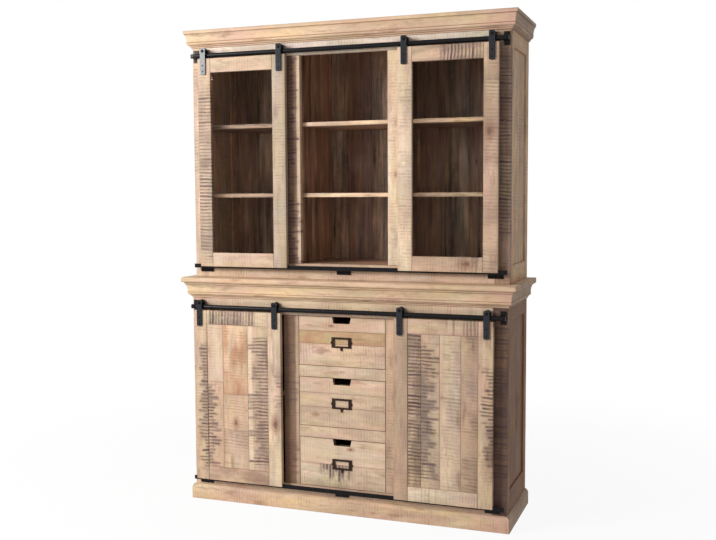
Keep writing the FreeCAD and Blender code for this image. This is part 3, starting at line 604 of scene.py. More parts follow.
class CABINET_OT_finishes(bpy.types.Operator):
    """Makes the wood, iron and glass finishes and gives them to the frame."""

    bl_idname = "cabinet.finishes"
    bl_label = "Finishes"

    def execute(self, context):
        finish = context.scene.cabinet_finish
        make_sawn_board(finish)
        make_powder_coat()
        board_material("Sawn Board Lacquer", polish=0.0, gloss=0.28, streak=0.35)
        board_material("Stained Inner Board", polish=0.20, gloss=0.45, streak=3.2)
        iron_material("Black Powder Coat", finish.iron, dull=0.22, gloss=0.14)
        iron_material("Blackened Steel", finish.steel, dull=0.10, gloss=0.35)
        iron_material("Dark Bronze", finish.bronze, dull=0.25, gloss=0.15)
        glass_material("Clear Glass")
        outside = plain_board_material("Plain Outside Wood", finish.tan)
        inside = plain_board_material("Plain Inside Wood", finish.walnut)
        for node, slot in SLOTS.items():
            material = finish_of(slot)
            if slot.endswith("_wood"):
                material = inside if slot == "inner_wood" else outside
            mesh = frame["nodes"][node].data
            mesh.materials.clear()
            mesh.materials.append(material)
        return {"FINISHED"}


# Modelling by hand: blocks, planks, cuts and joined pieces


# Angles in degrees: past SHARP an edge is rounded on a board, and past CURVED on a curved
# piece. Up to SMOOTH faces are shaded as one, and up to FLAT they are one
SHARP, CURVED, SMOOTH, FLAT = 30.0, 50.0, 20.0, 1.0


def deselect():
    if bpy.context.mode != "OBJECT":
        bpy.ops.object.mode_set(mode="OBJECT")
    for thing in list(bpy.context.selected_objects):
        thing.select_set(False)


def take(*things):
    """Selects these objects alone, with the first one active."""
    deselect()
    for thing in things:
        thing.select_set(True)
    bpy.context.view_layer.objects.active = things[0]


@contextmanager
def opened(made, edges=None):
    """Opens a mesh for editing, with all of it selected or only some of its edges."""
    take(made)
    mesh = made.data
    for part in (*mesh.vertices, *mesh.edges, *mesh.polygons):
        part.select = not edges
    if edges:
        for edge in mesh.edges:
            edge.select = edges(*(mesh.vertices[n].co for n in edge.vertices))
    bpy.context.tool_settings.mesh_select_mode = (False, True, False)
    bpy.ops.object.mode_set(mode="EDIT")
    yield bpy.ops.mesh
    bpy.ops.object.mode_set(mode="OBJECT")


def block(low, high):
    """A plain block between two corners."""
    deselect()
    low, high = Vector(low), Vector(high)
    bpy.ops.mesh.primitive_cube_add(size=1.0, location=(low + high) / 2)
    made = bpy.context.active_object
    made.scale = high - low
    bpy.ops.object.transform_apply(location=True, rotation=True, scale=True)
    return made


def soften(made, size, segments=2, angle=SHARP):
    """Rounds all the sharp edges of an object."""
    with opened(made) as mesh:
        mesh.select_all(action="DESELECT")
        mesh.edges_select_sharp(sharpness=math.radians(angle))
        mesh.bevel(offset=size, segments=segments, affect="EDGES", clamp_overlap=True)


def divide(made, axis, cuts):
    """Divides an object's edges along an axis."""
    waver = bpy.context.scene.cabinet_boards.waver
    others = [n for n in range(3) if n != axis]
    with opened(made, lambda a, b: all(abs(a[n] - b[n]) < waver for n in others)) as mesh:
        mesh.subdivide(number_cuts=cuts)


def plank(low, high, axis, edge, seed):
    """A board with rubbed edges and faces that waver a little, inside its block."""
    boards = bpy.context.scene.cabinet_boards
    shrink = Vector((1, 1, 1)) * boards.waver
    low, high = Vector(low) + shrink, Vector(high) - shrink
    made = block(low, high)
    steps = int((high - low)[axis] / boards.waver_step)
    if steps > 1:
        divide(made, axis, steps - 1)
    soften(made, edge)
    with opened(made):
        bpy.ops.transform.vertex_random(offset=boards.waver, uniform=0.0, normal=0.0, seed=seed)
    return made


def cut(made, cutter):
    """Takes a cutter's shape out of an object."""
    take(made)
    change = made.modifiers.new("Cut", "BOOLEAN")
    change.operation = "DIFFERENCE"
    change.solver = "EXACT"
    change.object = cutter
    bpy.ops.object.modifier_apply(modifier=change.name)


def discard(*things):
    for thing in things:
        bpy.data.objects.remove(thing)


def joined(pieces):
    """All the pieces as one object."""
    take(*pieces)
    if len(pieces) > 1:
        bpy.ops.object.join()
    return bpy.context.active_object


def stand_for(made, name, node, coat=None):
    """Names a finished piece and lets it move, and be finished, as a node of the frame is."""
    take(made)
    bpy.ops.object.shade_smooth_by_angle(angle=math.radians(SMOOTH))
    made.name = name
    made.data.name = name
    made.data.materials.clear()
    made.data.materials.append(bpy.data.materials[coat] if coat else finish_of(SLOTS[node]))
    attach(made, frame["nodes"][node]["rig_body"])
    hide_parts(node)


# Boards


# A board's look: its tone, its saw lines, its burnt strokes and the edge they start at, its
# blotches and their tone, its sapwood with its edge as the sign (on the left mullions a painted
# lit strip), where the strokes run, and a knot's place across and along with its radius
Look = namedtuple(
    "Look",
    "tone saw strokes side blotch stain sap burn knot",
    defaults=(0.0, ALL_ALONG, (0.0, 0.0, 0.0)),
)
Board = namedtuple("Board", "low high along look edge")
# Steps of a board's chance number from name to name, from board to board and round a moulding
NAME_STEP, BOARD_STEP, LENGTH_STEP = 0.137, 0.618, 0.317


def board(x, y, z, along, look, edge="worn_edge"):
    """A board between limits on each axis."""
    low, high = zip(*(sorted(limits) for limits in (x, y, z)))
    return Board(low, high, along, look, edge)


def limits_of(node):
    """The limits on each axis of a node of the frame."""
    return list(zip(*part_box(node)))


def reach_of(made):
    """The limits on each axis of an object."""
    corners = [Vector(corner) for corner in made.bound_box]
    return [(min(c[n] for c in corners), max(c[n] for c in corners)) for n in range(3)]


def write_look(made, board, seed):
    """Writes a board's place, half sizes, tones and marks on its mesh."""
    finish = bpy.context.scene.cabinet_finish
    low, high = Vector(board.low), Vector(board.high)
    axis = "xyz".index(board.along)
    sizes = high - low
    others = sorted((n for n in range(3) if n != axis), key=lambda n: -sizes[n])
    order = (*others, axis)
    middle, half = (low + high) / 2, sizes / 2
    look, mesh = board.look, made.data
    knot_across, knot_along, radius = look.knot
    rows = {"place": [[v.co[n] - middle[n] for n in order] for v in mesh.vertices]}
    for title, row in (
        ("half", [half[n] for n in order]),
        ("burn", look.burn),
        ("knot", (knot_across * half[others[0]], (knot_along * 2 - 1) * half[axis], radius)),
        ("tint", (*getattr(finish, look.tone), look.side)),
        ("stain", (*getattr(finish, look.stain), look.sap)),
        ("marks", (look.saw, look.strokes, look.blotch, seed)),
    ):
        rows[title] = [row] * len(mesh.vertices)
    for title, values in rows.items():
        kind = "vector" if len(values[0]) == 3 else "color"
        written = mesh.attributes.new(title, "FLOAT_" + kind.upper(), "POINT")
        written.data.foreach_set(kind, [number for row in values for number in row])


def piece(name, boards, node, cutters=(), coat=None):
    """Makes every board of a piece, cuts it where a cutter crosses it, and joins them."""
    made = []
    start = sum(ord(letter) for letter in name)
    for number, board in enumerate(boards):
        edge = getattr(bpy.context.scene.cabinet_boards, board.edge)
        wood = plank(board.low, board.high, "xyz".index(board.along), edge, start + number)
        for cutter in cutters:
            if overlaps(board, cutter):
                cut(wood, cutter)
        write_look(wood, board, (start * NAME_STEP + number * BOARD_STEP) % 1.0)
        made.append(wood)
    stand_for(joined(made), name, node, coat)


def overlaps(board, cutter):
    """Whether a cutter's box reaches into a board."""
    axes = zip(reach_of(cutter), board.low, board.high)
    return all(low < top and high > foot for (low, high), foot, top in axes)


def spans(limits, shares):
    """Limits side by side between two limits, with widths in the given shares."""
    low, high = limits
    total = sum(shares)
    edges = [low]
    for share in shares:
        edges.append(edges[-1] + (high - low) * share / total)
    return list(zip(edges[:-1], edges[1:]))


def laid(limits, rows):
    """Limits side by side, each with its look, for rows of a share and a look."""
    shares, looks = zip(*rows)
    return zip(spans(limits, shares), looks)


def core(boards):
    """A thin board inside boards side by side, so that no light comes through their joints."""
    inset = Vector((2, 2, 2)) * bpy.context.scene.cabinet_boards.worn_edge
    low = Vector([min(row) for row in zip(*(one.low for one in boards))]) + inset
    high = Vector([max(row) for row in zip(*(one.high for one in boards))]) - inset
    return Board(low, high, boards[0].along, boards[0].look, "glued_edge")


def ring(outer, inner, y, looks, edge="worn_edge"):
    """Boards round an opening: an upright on each side, and a foot and a head between them."""
    (x, z), (inner_x, inner_z) = outer, inner
    left, right, foot, head = looks
    return [
        board((x[0], inner_x[0]), y, z, "z", left, edge),
        board((inner_x[1], x[1]), y, z, "z", right, edge),
        board(inner_x, y, (z[0], inner_z[0]), "x", foot, edge),
        board(inner_x, y, (inner_z[1], z[1]), "x", head, edge),
    ]


# Cases


TIERS = ("upper", "lower")
Room = namedtuple("Room", "face opening half_bay bay depth")


def room(tier):
    """The places in a case that its boards meet at, read from the frame."""
    sizes = bpy.context.scene.cabinet_boards
    low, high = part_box(f"{tier}_face_frame")
    top_rail = getattr(sizes, f"{tier}_top_rail")
    half_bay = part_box(f"{tier}_partitions")[1].x - sizes.partition
    return Room(
        face=(low.y, high.y),
        opening=(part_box(f"{tier}_bottom_board")[1].z, high.z - top_rail),
        half_bay=half_bay,
        bay=(half_bay + sizes.mullion, high.x - sizes.stile),
        depth=(high.y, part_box(f"{tier}_back_boards")[0].y),
    )


def drawer_rails():
    """The limits in height of the rail over each drawer."""
    height = bpy.context.scene.cabinet_boards.drawer_rail
    low, high = room("lower").opening
    pitch = (high - low + height) / len(DRAWERS)
    tops = [low + number * pitch for number in range(1, len(DRAWERS) + 1)]
    return [(top - height, top) for top in tops]


# The umber tone of the left mullions and of the lower right stile is painted shade from the door
# beside them; the cream sapwood edge of the left mullions is a painted lit strip beside that shade
FRAME_LOOKS = {
    "upper": {
        "left": Look("straw", 0.8, 0.3, 0.0, 0.4, "rose"),
        "left_mullion": Look("umber", 0.9, 0.75, 0.0, 0.5, "rose", 0.9),
        "right_mullion": Look("cream", 0.9, 0.2, 1.0, 0.5, "rose"),
        "right": Look("clay", 1.0, 0.9, 0.5, 0.4, "walnut", 0.0, (0.2, 0.88, 1.1)),
        "foot": Look("straw", 1.0, 0.15, 0.5, 0.4, "rose"),
        "head": Look("chalk", 0.9, 0.1, 0.5, 0.4, "straw"),
    },
    "lower": {
        "left": Look("tan", 0.7, 0.2, 0.0, 0.2, "rose"),
        "left_mullion": Look("umber", 1.0, 0.5, 0.0, 0.3, "walnut", 0.5),
        "right_mullion": Look("tan", 0.8, 0.35, 0.0, 0.6, "rose"),
        "right": Look("umber", 0.9, 0.8, 0.5, 0.5, "soot"),
        "foot": Look("tan", 0.7, 0.05, 0.5, 0.4, "rose"),
        "head": Look("straw", 0.9, 0.1, 0.5, 0.5, "rose"),
        "rails": Look("straw", 0.8, 0.15, 0.5, 0.6, "clay"),
    },
}


class CABINET_OT_face_frames(bpy.types.Operator):
    """Builds the frames of stiles, rails and mullions on both faces."""

    bl_idname = "cabinet.face_frames"
    bl_label = "Face frames"

    def execute(self, context):
        for tier, looks in FRAME_LOOKS.items():
            place = room(tier)
            x, y, z = limits_of(f"{tier}_face_frame")
            opening, half, (mullion, inner) = place.opening, place.half_bay, place.bay
            boards = [
                board((x[0], -inner), y, z, "z", looks["left"]),
                board((inner, x[1]), y, z, "z", looks["right"]),
                board((-mullion, -half), y, opening, "z", looks["left_mullion"]),
                board((half, mullion), y, opening, "z", looks["right_mullion"]),
                board((-inner, inner), y, (z[0], opening[0]), "x", looks["foot"]),
                board((-inner, inner), y, (opening[1], z[1]), "x", looks["head"]),
            ]
            if tier == "lower":
                for rail in drawer_rails()[:-1]:
                    boards.append(board((-half, half), y, rail, "x", looks["rails"]))
            piece(f"{tier}_face_frame_boards", boards, f"{tier}_face_frame")
        return {"FINISHED"}


SIDE_SHARES = {"upper": (0.56, 0.44), "lower": (0.52, 0.34, 0.14)}
SIDE_LOOKS = {
    "pale": (
        Look("amber", 0.6, 0.1, 0.0, 0.4, "clay"),
        Look("amber", 0.8, 0.3, 0.0, 0.5, "walnut"),
        Look("amber", 0.7, 0.2, 1.0, 0.3, "rust"),
        Look("honey", 0.8, 0.3, 0.0, 0.4, "amber"),
        Look("amber", 0.6, 0.2, 0.0, 0.4, "clay"),
    ),
    "brown": (
        Look("bark", 0.6, 0.2, 0.0, 0.5, "umber"),
        Look("bark", 0.7, 0.2, 0.0, 0.5, "walnut"),
        Look("bark", 0.8, 0.4, 1.0, 0.6, "umber"),
        Look("umber", 0.7, 0.3, 0.0, 0.6, "bark"),
        Look("bark", 0.6, 0.2, 0.0, 0.4, "umber"),
    ),
}


class CABINET_OT_sides(bpy.types.Operator):
    """Builds the framed sides with their set-back upright boards."""

    bl_idname = "cabinet.sides"
    bl_label = "Sides"

    def execute(self, context):
        sizes = context.scene.cabinet_boards
        for tier, shares in SIDE_SHARES.items():
            foot, head = (getattr(sizes, f"{tier}_side_{end}") for end in ("foot", "head"))
            (near, far), y, z = limits_of(f"{tier}_right_side")
            between = (y[0] + sizes.side_front, y[1] - sizes.side_back)
            inner_z = (z[0] + foot, z[1] - head)
            face = far - sizes.side_recess
            for side, hand in (("left", -1), ("right", 1)):
                looks = SIDE_LOOKS["brown" if (tier, side) == ("lower", "right") else "pale"]
                x = (hand * near, hand * far)
                panel_x = (hand * (face - sizes.side_panel), hand * face)
                boards = [
                    board(x, (y[0], between[0]), z, "z", looks[0]),
                    board(x, (between[1], y[1]), z, "z", looks[1]),
                    board(x, between, (z[0], inner_z[0]), "y", looks[2]),
                    board(x, between, (inner_z[1], z[1]), "y", looks[0]),
                ]
                panel = [
                    board(panel_x, row, inner_z, "z", look, "glued_edge")
                    for row, look in zip(spans(between, shares), looks[2:])
                ]
                boards += [*panel, core(panel)]
                piece(f"{tier}_{side}_side_boards", boards, f"{tier}_{side}_side")
        return {"FINISHED"}


BROWN = Look("walnut", 0.1, 0.0, 0.5, 0.5, "walnut_red")
RED = Look("walnut_red", 0.1, 0.0, 0.5, 0.5, "walnut_deep")
DUSK = Look("clay", 0.1, 0.0, 0.5, 0.4, "walnut_deep")
PALE = Look("honey", 0.2, 0.0, 0.5, 0.3, "rose")
BACK_LOOKS = (BROWN, DUSK, BROWN, DUSK, DUSK, RED, DUSK, DUSK, BROWN, DUSK, BROWN, BROWN)
WALL_BOARDS = ((0.3, RED), (0.7, BROWN))
TOP_BOARDS = ((0.40, PALE), (0.35, BROWN), (0.25, PALE))


class CABINET_OT_inner_boards(bpy.types.Operator):
    """Builds backs, shelves, partitions, floors, the top and the drawer runners."""

    bl_idname = "cabinet.inner_boards"
    bl_label = "Inner boards"

    def execute(self, context):
        sizes = context.scene.cabinet_boards
        for tier in TIERS:
            place = room(tier)
            self.backs(tier)
            self.shelves(tier, place, sizes)
            x, _, z = limits_of(f"{tier}_partitions")
            walls = [
                board((hand * place.half_bay, hand * x[1]), y, z, "z", look)
                for y, look in laid(place.depth, WALL_BOARDS)
                for hand in (-1, 1)
            ]
            piece(f"{tier}_partition_boards", walls, f"{tier}_partitions")
            floor = board(*limits_of(f"{tier}_bottom_board"), "x", BROWN)
            piece(f"{tier}_floor", [floor], f"{tier}_bottom_board")
        x, y, z = limits_of("upper_top_board")
        top = [board(x, row, z, "x", look) for row, look in laid(y, TOP_BOARDS)]
        piece("top_boards", [*top, core(top)], "upper_top_board", coat="Sawn Board Lacquer")
        self.runners(sizes)
        return {"FINISHED"}

    def backs(self, tier):
        x, y, z = limits_of(f"{tier}_back_boards")
        places = spans(x, (1,) * len(BACK_LOOKS))
        boards = [board(place, y, z, "z", look) for place, look in zip(places, BACK_LOOKS)]
        piece(f"{tier}_backs", [*boards, core(boards)], f"{tier}_back_boards")

    def shelves(self, tier, place, sizes):
        low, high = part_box(f"{tier}_shelves")
        inner, lip = place.half_bay + sizes.partition, low.y + sizes.shelf
        bays, tops = [(-high.x, -inner), (inner, high.x)], [high.z]
        if tier == "upper":
            bays.append((-place.half_bay, place.half_bay))
            tops.insert(0, high.z - sizes.shelf_pitch)
        boards = [
            board(x, y, (top - sizes.shelf, top), "x", look, "glued_edge")
            for x in bays
            for top in tops
            for y, look in (((low.y, lip), PALE), ((lip, high.y), BROWN))
        ]
        piece(f"{tier}_shelf_boards", boards, f"{tier}_shelves")

    def runners(self, sizes):
        x, y, _ = limits_of("drawer_runners")
        inner = room("lower").half_bay - sizes.shelf
        boards = [
            board((hand * inner, hand * x[1]), y, z, "y", BROWN)
            for z in drawer_rails()
            for hand in (-1, 1)
        ]
        piece("runner_boards", boards, "drawer_runners")


# Mouldings


def arc(start, end, bow, steps=8):
    """Points on an arc between two points of an outline, without its first point."""
    start, end = Vector(start), Vector(end)
    chord = end - start
    rise = Vector((-chord.y, chord.x)) * bow
    radius = (0.25 + bow * bow) / (2 * abs(bow)) * chord.length
    centre = start + chord / 2 + rise * (1 - radius / rise.length)
    first = start - centre
    turn = first.angle_signed(end - centre)
    points = []
    for number in range(1, steps + 1):
        angle = -turn * number / steps
        x = first.x * math.cos(angle) - first.y * math.sin(angle)
        y = first.x * math.sin(angle) + first.y * math.cos(angle)
        points.append((centre.x + x, centre.y + y))
    return points


# Each corner's projection and height under the lip as shares, and the bow of the line to it
MOULDED_CORNERS = (
    (0.18, 0.00, 0.0),
    (0.18, 0.10, 0.0),
    (0.36, 0.20, -0.22),
    (0.42, 0.20, 0.0),
    (0.60, 0.38, -0.25),
    (0.65, 0.38, 0.0),
    (0.88, 0.98, 0.08),
    (0.88, 1.00, 0.0),
    (1.00, 1.00, 0.0),
)
# The corners of the outline that get painted shade, and how dark that shade is
CREASES, CREASE_SHADE = (1, 2, 4, 5, 7), 0.85


def moulded_outline(lip, height, reach):
    """A moulding's outline from its foot to its lip: projection from the case, and height."""
    points = [(0.0, 0.0)]
    for out, rise, bow in MOULDED_CORNERS:
        corner = (reach * out, (height - lip) * rise)
        points += arc(points[-1], corner, bow) if bow else [corner]
    return points + [(reach, height), (0.0, height)]


def plinth_outline(height, reach):
    """A flat board with a rounded top edge."""
    sizes = bpy.context.scene.cabinet_mouldings
    low = height - sizes.plinth_round
    radius = (sizes.plinth_round**2 + reach**2) / (2 * reach)
    half_turn = math.atan2(sizes.plinth_round, radius - reach) / 2
    bow = (1 - math.cos(half_turn)) / (2 * math.sin(half_turn))
    return [(0, 0), (reach, 0), (reach, low)] + arc((reach, low), (0, height), -bow)


def outline(points, filled=True):
    """A row of corners joined to a loop, with or without a face inside."""
    deselect()
    kind = "NGON" if filled else "NOTHING"
    bpy.ops.mesh.primitive_circle_add(vertices=len(points), radius=1.0, fill_type=kind)
    made = bpy.context.active_object
    for vertex, point in zip(made.data.vertices, points):
        vertex.co = point
    return made


def push(made, way):
    """Extrudes a flat outline into a closed length."""
    with opened(made) as mesh:
        mesh.extrude_region_move(TRANSFORM_OT_translate={"value": way})
        mesh.select_all(action="SELECT")
        mesh.normals_make_consistent(inside=False)


def miter(made, point, normal):
    """Cuts off what lies beyond a plane and closes the cut."""
    with opened(made) as mesh:
        mesh.bisect(plane_co=point, plane_no=normal, use_fill=True, clear_outer=True)


# Each moulding's node, its case, and the looks of its front and its returns
MOULDINGS = {
    "cornice": (
        "cornice",
        "upper",
        Look("honey", 0.1, 0.0, 0.5, 0.5, "rose"),
        Look("tan", 0.1, 0.0, 0.5, 0.5, "umber"),
    ),
    "waist": (
        "waist_moulding",
        "lower",
        Look("honey", 0.1, 0.0, 0.5, 0.4, "olive"),
        Look("tan", 0.1, 0.0, 0.5, 0.4, "umber"),
    ),
    "plinth": (
        "plinth",
        "lower",
        Look("honey", 0.8, 0.2, 0.5, 0.6, "rose"),
        Look("tan", 0.5, 0.1, 0.5, 0.4, "umber"),
    ),
}
SLAB_BOARDS = (
    (0.27, Look("honey", 0.2, 0.0, 0.5, 0.3, "olive")),
    (0.30, Look("tan", 0.2, 0.0, 0.5, 0.4, "rose")),
    (0.24, Look("honey", 0.2, 0.0, 0.5, 0.3, "rose")),
    (0.19, Look("tan", 0.2, 0.0, 0.5, 0.3, "olive")),
)


class CABINET_OT_mouldings(bpy.types.Operator):
    """Runs the cornice, the waist moulding and the plinth round the cases, and lays the slab."""

    bl_idname = "cabinet.mouldings"
    bl_label = "Mouldings and slab"

    def execute(self, context):
        for kind, row in MOULDINGS.items():
            self.moulding(kind, *row)
        x, y, z = limits_of("waist_slab")
        boards = [
            board(x, row, z, "x", look, "slab_edge" if y[0] in row else "worn_edge")
            for row, look in laid(y, SLAB_BOARDS)
        ]
        piece("slab_boards", [*boards, core(boards)], "waist_slab")
        return {"FINISHED"}

    def moulding(self, kind, node, tier, front_look, side_look):
        sizes = bpy.context.scene.cabinet_mouldings
        low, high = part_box(node)
        face = room(tier).face[0]
        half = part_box(f"{tier}_right_side")[1].x
        reach, height = face - low.y, high.z - low.z
        creases = []
        if kind == "plinth":
            points = plinth_outline(height, reach)
        else:
            lip = getattr(sizes, f"{kind}_lip")
            points = moulded_outline(lip, height, reach)
            for out, rise, _ in (MOULDED_CORNERS[number] for number in CREASES):
                creases.append((reach * out, (height - lip) * rise))
        gap = Vector((sizes.miter_gap, 0, 0))
        corners = [(hand, Vector((hand * half, face, low.z))) for hand in (-1, 1)]
        front = outline([(low.x, face - out, low.z + z) for out, z in points])
        push(front, (high.x - low.x, 0, 0))
        for hand, corner in corners:
            miter(front, corner - hand * gap, (hand, 1, 0))
        made = [self.dressed(front, "x", front_look, 1)]
        for hand, corner in corners:
            side = outline([(hand * (half + out), low.y, low.z + z) for out, z in points])
            push(side, (0, high.y - low.y, 0))
            miter(side, corner + hand * gap, (-hand, -1, 0))
            made.append(self.dressed(side, "y", side_look, 2 + hand))
        for part in made:
            self.paint_crease_shade(part, creases, lambda v: (max(face - v.y, abs(v.x) - half), v.z - low.z))
        stand_for(joined(made), f"{kind}_lengths", node)

    def paint_crease_shade(self, made, creases, place_of):
        """Writes how much painted shade lies at each point in the creases of a moulding."""
        near = bpy.context.scene.cabinet_boards.worn_edge
        values = []
        for vertex in made.data.vertices:
            out, rise = place_of(vertex.co)
            in_crease_shade = any(math.hypot(out - a, rise - b) < near for a, b in creases)
            values.append(CREASE_SHADE if in_crease_shade else 0.0)
        made.data.attributes.new("crease", "FLOAT", "POINT").data.foreach_set("value", values)

    def dressed(self, made, along, look, number):
        """Divides a length along its run, wears its edges and writes its look."""
        boards = bpy.context.scene.cabinet_boards
        written = board(*reach_of(made), along, look)
        axis = "xyz".index(along)
        divide(made, axis, int((written.high[axis] - written.low[axis]) / boards.waver_step))
        soften(made, boards.glued_edge, segments=1, angle=CURVED)
        write_look(made, written, (number * LENGTH_STEP) % 1.0)
        return made


# Doors


NOTCHED = Look("rose", 0.9, 1.0, 0.0, 0.4, "straw", 0.0, (0.02, 0.97, 0.55))
KNOTTY = Look("tan", 1.0, 0.3, 0.5, 0.6, "honey", 0.0, (0.05, 0.6, 0.7), (0.0, 0.62, 0.007))
DOOR_LOOKS = {
    "upper_left_door": {
        "left": Look("tan", 1.0, 0.75, 0.5, 0.6, "cream", 0.0, (0.02, 0.90, 1.0)),
        "right": Look("ash", 0.9, 0.1, 1.0, 0.4, "olive"),
        "head": Look("straw", 0.8, 0.15, 0.5, 0.5, "rose"),
        "foot": Look("tan", 0.9, 0.1, 0.5, 0.5, "chalk"),
    },
    "upper_right_door": {
        "left": Look("cream", 1.0, 0.35, 1.0, 0.3, "tan"),
        "right": Look(
            "tan", 1.0, 0.4, 0.5, 0.6, "rose", 0.0, (-0.1, 1.1, 0.9), (-0.2, 0.62, 0.009)
        ),
        "head": Look("tan", 0.9, 0.9, 0.5, 0.6, "clay", 0.0, (0.40, 0.98, 0.9)),
        "foot": Look("tan", 0.8, 0.5, 0.5, 0.5, "clay", 0.0, (0.5, 0.98, 0.7), (0.1, 0.78, 0.009)),
    },
    "lower_left_door": {
        "left": Look("tan", 0.9, 1.0, 1.0, 0.4, "straw", 0.0, (0.06, 0.80, 0.55)),
        "right": Look(
            "straw", 0.6, 0.5, 1.0, 0.6, "ash", 0.0, (0.45, 0.78, 0.30), (0.1, 0.36, 0.010)
        ),
        "head": Look("straw", 0.8, 1.0, 0.5, 0.3, "rose", 0.0, (0.05, 0.80, 0.75)),
        "foot": Look("tan", 0.6, 0.2, 0.5, 0.6, "umber"),
        "panel": (
            (0.26, (0.60, NOTCHED), (0.40, Look("straw", 0.7, 0.1, 0.0, 0.4, "rose"))),
            (0.41, (0.52, KNOTTY), (0.48, Look("honey", 1.0, 0.2, 0.5, 1.0, "rust"))),
            (0.33, (1.0, Look("tan", 0.9, 1.0, 1.0, 0.6, "ash", -0.9, (0.04, 0.93, 0.80)))),
        ),
    },
    "lower_right_door": {
        "left": Look("clay", 0.6, 0.05, 0.5, 0.5, "tan"),
        "right": Look("tan", 0.9, 1.0, 1.0, 0.5, "clay", 0.0, (0.15, 0.75, 0.55)),
        "head": Look("tan", 0.8, 0.5, 0.5, 0.4, "rose"),
        "foot": Look("cream", 0.7, 0.25, 0.5, 0.4, "rose"),
        "panel": (
            (0.19, (1.0, Look("tan", 0.9, 1.0, 0.5, 0.6, "olive", 0.0, (-0.1, 1.1, 1.5)))),
            (0.27, (1.0, Look("tan", 0.9, 1.0, 0.0, 0.7, "ash", 0.0, (0.05, 0.93, 0.75)))),
            (0.30, (1.0, Look("straw", 0.8, 0.35, 1.0, 0.4, "cream"))),
            (0.24, (1.0, Look("clay", 0.9, 0.5, 1.0, 0.6, "honey"))),
        ),
    },
}


class CABINET_OT_doors(bpy.types.Operator):
    """Builds the glazed doors with their beads and the boarded doors with their panels."""

    bl_idname = "cabinet.doors"
    bl_label = "Doors"

    def execute(self, context):
        for door, looks in DOOR_LOOKS.items():
            self.frame_of(door, looks, context.scene.cabinet_boards)
            if "panel" in looks:
                self.panel(door, looks["panel"])
        return {"FINISHED"}

    def frame_of(self, door, looks, sizes):
        x, y, z = limits_of(f"{door}_frame")
        inner = self.grown((x, z), -sizes.door_member)
        boards = ring((x, z), inner, y, [looks[end] for end in ("left", "right", "foot", "head")])
        over, middle, half = sizes.overrun, sum(y) / 2, sizes.groove / 2
        groove = block(
            (x[0] - over, middle - half, z[0] - over),
            (x[1] + over, middle + half, z[0] + sizes.groove_depth),
        )
        cutters, beads = [groove], []
        if "panel" not in looks:
            seat = self.grown(inner, sizes.rebate)
            (left, right), (foot, head) = seat
            front = (left, y[0] + sizes.glass_lip, foot)
            cutters.append(block(front, (right, y[1] + over, head)))
            behind = (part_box(f"{door}_glass")[1].y, y[1])
            beads = ring(seat, inner, behind, [looks["left"]] * 4, "glued_edge")
        piece(f"{door}_frame_boards", boards, f"{door}_frame", cutters=cutters)
        discard(*cutters)
        if beads:
            piece(f"{door}_beads", beads, f"{door}_frame")

    def grown(self, limits, size):
        return [(low - size, high + size) for low, high in limits]

    def panel(self, door, columns):
        x, y, z = limits_of(f"{door}_boards")
        made = [
            board(column, y, row, "z", look, "glued_edge")
            for column, (_, *lengths) in zip(spans(x, [share for share, *_ in columns]), columns)
            for row, look in laid(z, lengths)
        ]
        piece(f"{door}_panel", [*made, core(made)], f"{door}_boards")


# Drawers


DRAWERS = {
    "bottom": (
        (0.47, Look("straw", 0.9, 0.7, 1.0, 0.6, "ash", 0.0, (0.24, 0.60, 0.55))),
        (0.53, Look("straw", 0.5, 0.0, 0.5, 0.5, "cream", knot=(0.3, 0.60, 0.004))),
    ),
    "middle": (
        (0.40, Look("tan", 0.8, 0.0, 0.5, 0.7, "ash", knot=(0.2, 0.19, 0.004))),
        (0.29, Look("tan", 0.7, 0.1, 0.5, 0.6, "cream")),
        (0.31, Look("straw", 0.6, 0.05, 0.5, 0.6, "rose")),
    ),
    "top": (
        (0.45, Look("straw", 0.9, 0.15, 0.5, 0.6, "rose")),
        (0.26, Look("olive", 0.6, 0.3, 0.5, 1.0, "rust", 0.0, (0.1, 0.3, 1.0))),
        (0.29, Look("tan", 0.6, 0.0, 0.5, 0.6, "cream")),
    ),
}
BOX_LOOK = Look("honey", 0.2, 0.0, 0.5, 0.3, "tan")


class CABINET_OT_drawers(bpy.types.Operator):
    """Builds the drawer fronts, glued from boards, with their finger cuts and boxes."""

    bl_idname = "cabinet.drawers"
    bl_label = "Drawers"

    def execute(self, context):
        sizes = context.scene.cabinet_boards
        for name, boards in DRAWERS.items():
            self.front(name, boards, sizes)
            self.box_of(name, sizes)
        return {"FINISHED"}

    def front(self, name, boards, sizes):
        node = f"{name}_drawer_front"
        x, y, z = limits_of(node)
        made = [board(x, y, row, "x", look, "glued_edge") for row, look in laid(z, boards)]
        foot, top, over = sizes.finger_foot / 2, sizes.finger_top / 2, sizes.overrun
        low = (-foot, y[0] - over, z[1] - sizes.finger_depth)
        cutter = block(low, (foot, y[1] + over, z[1] + over))
        widen = 1 + (top / foot - 1) * (1 + over / sizes.finger_depth)
        for vertex in cutter.data.vertices:
            if vertex.co.z > z[1]:
                vertex.co.x *= widen
        soften(cutter, sizes.worn_edge, segments=3)
        piece(f"{name}_drawer_face", [*made, core(made)], node, cutters=[cutter])
        discard(cutter)

    def box_of(self, name, sizes):
        node = f"{name}_drawer_box"
        x, y, z = limits_of(node)
        inner = x[1] - sizes.box_side
        bottom = z[0] + sizes.box_bottom_rise
        floor = (bottom, bottom + sizes.box_bottom)
        back = (y[1] - sizes.box_side, y[1])
        boards = [
            board((x[0], -inner), y, z, "y", BOX_LOOK),
            board((inner, x[1]), y, z, "y", BOX_LOOK),
            board((-inner, inner), back, (floor[1], z[1]), "x", BOX_LOOK),
            board((-inner, inner), y, floor, "x", BOX_LOOK, "glued_edge"),
        ]
        piece(f"{name}_drawer_sides", boards, node, coat="Sawn Board Lacquer")


# Iron fittings


# Points nearer than this are one
WELD = 0.00001
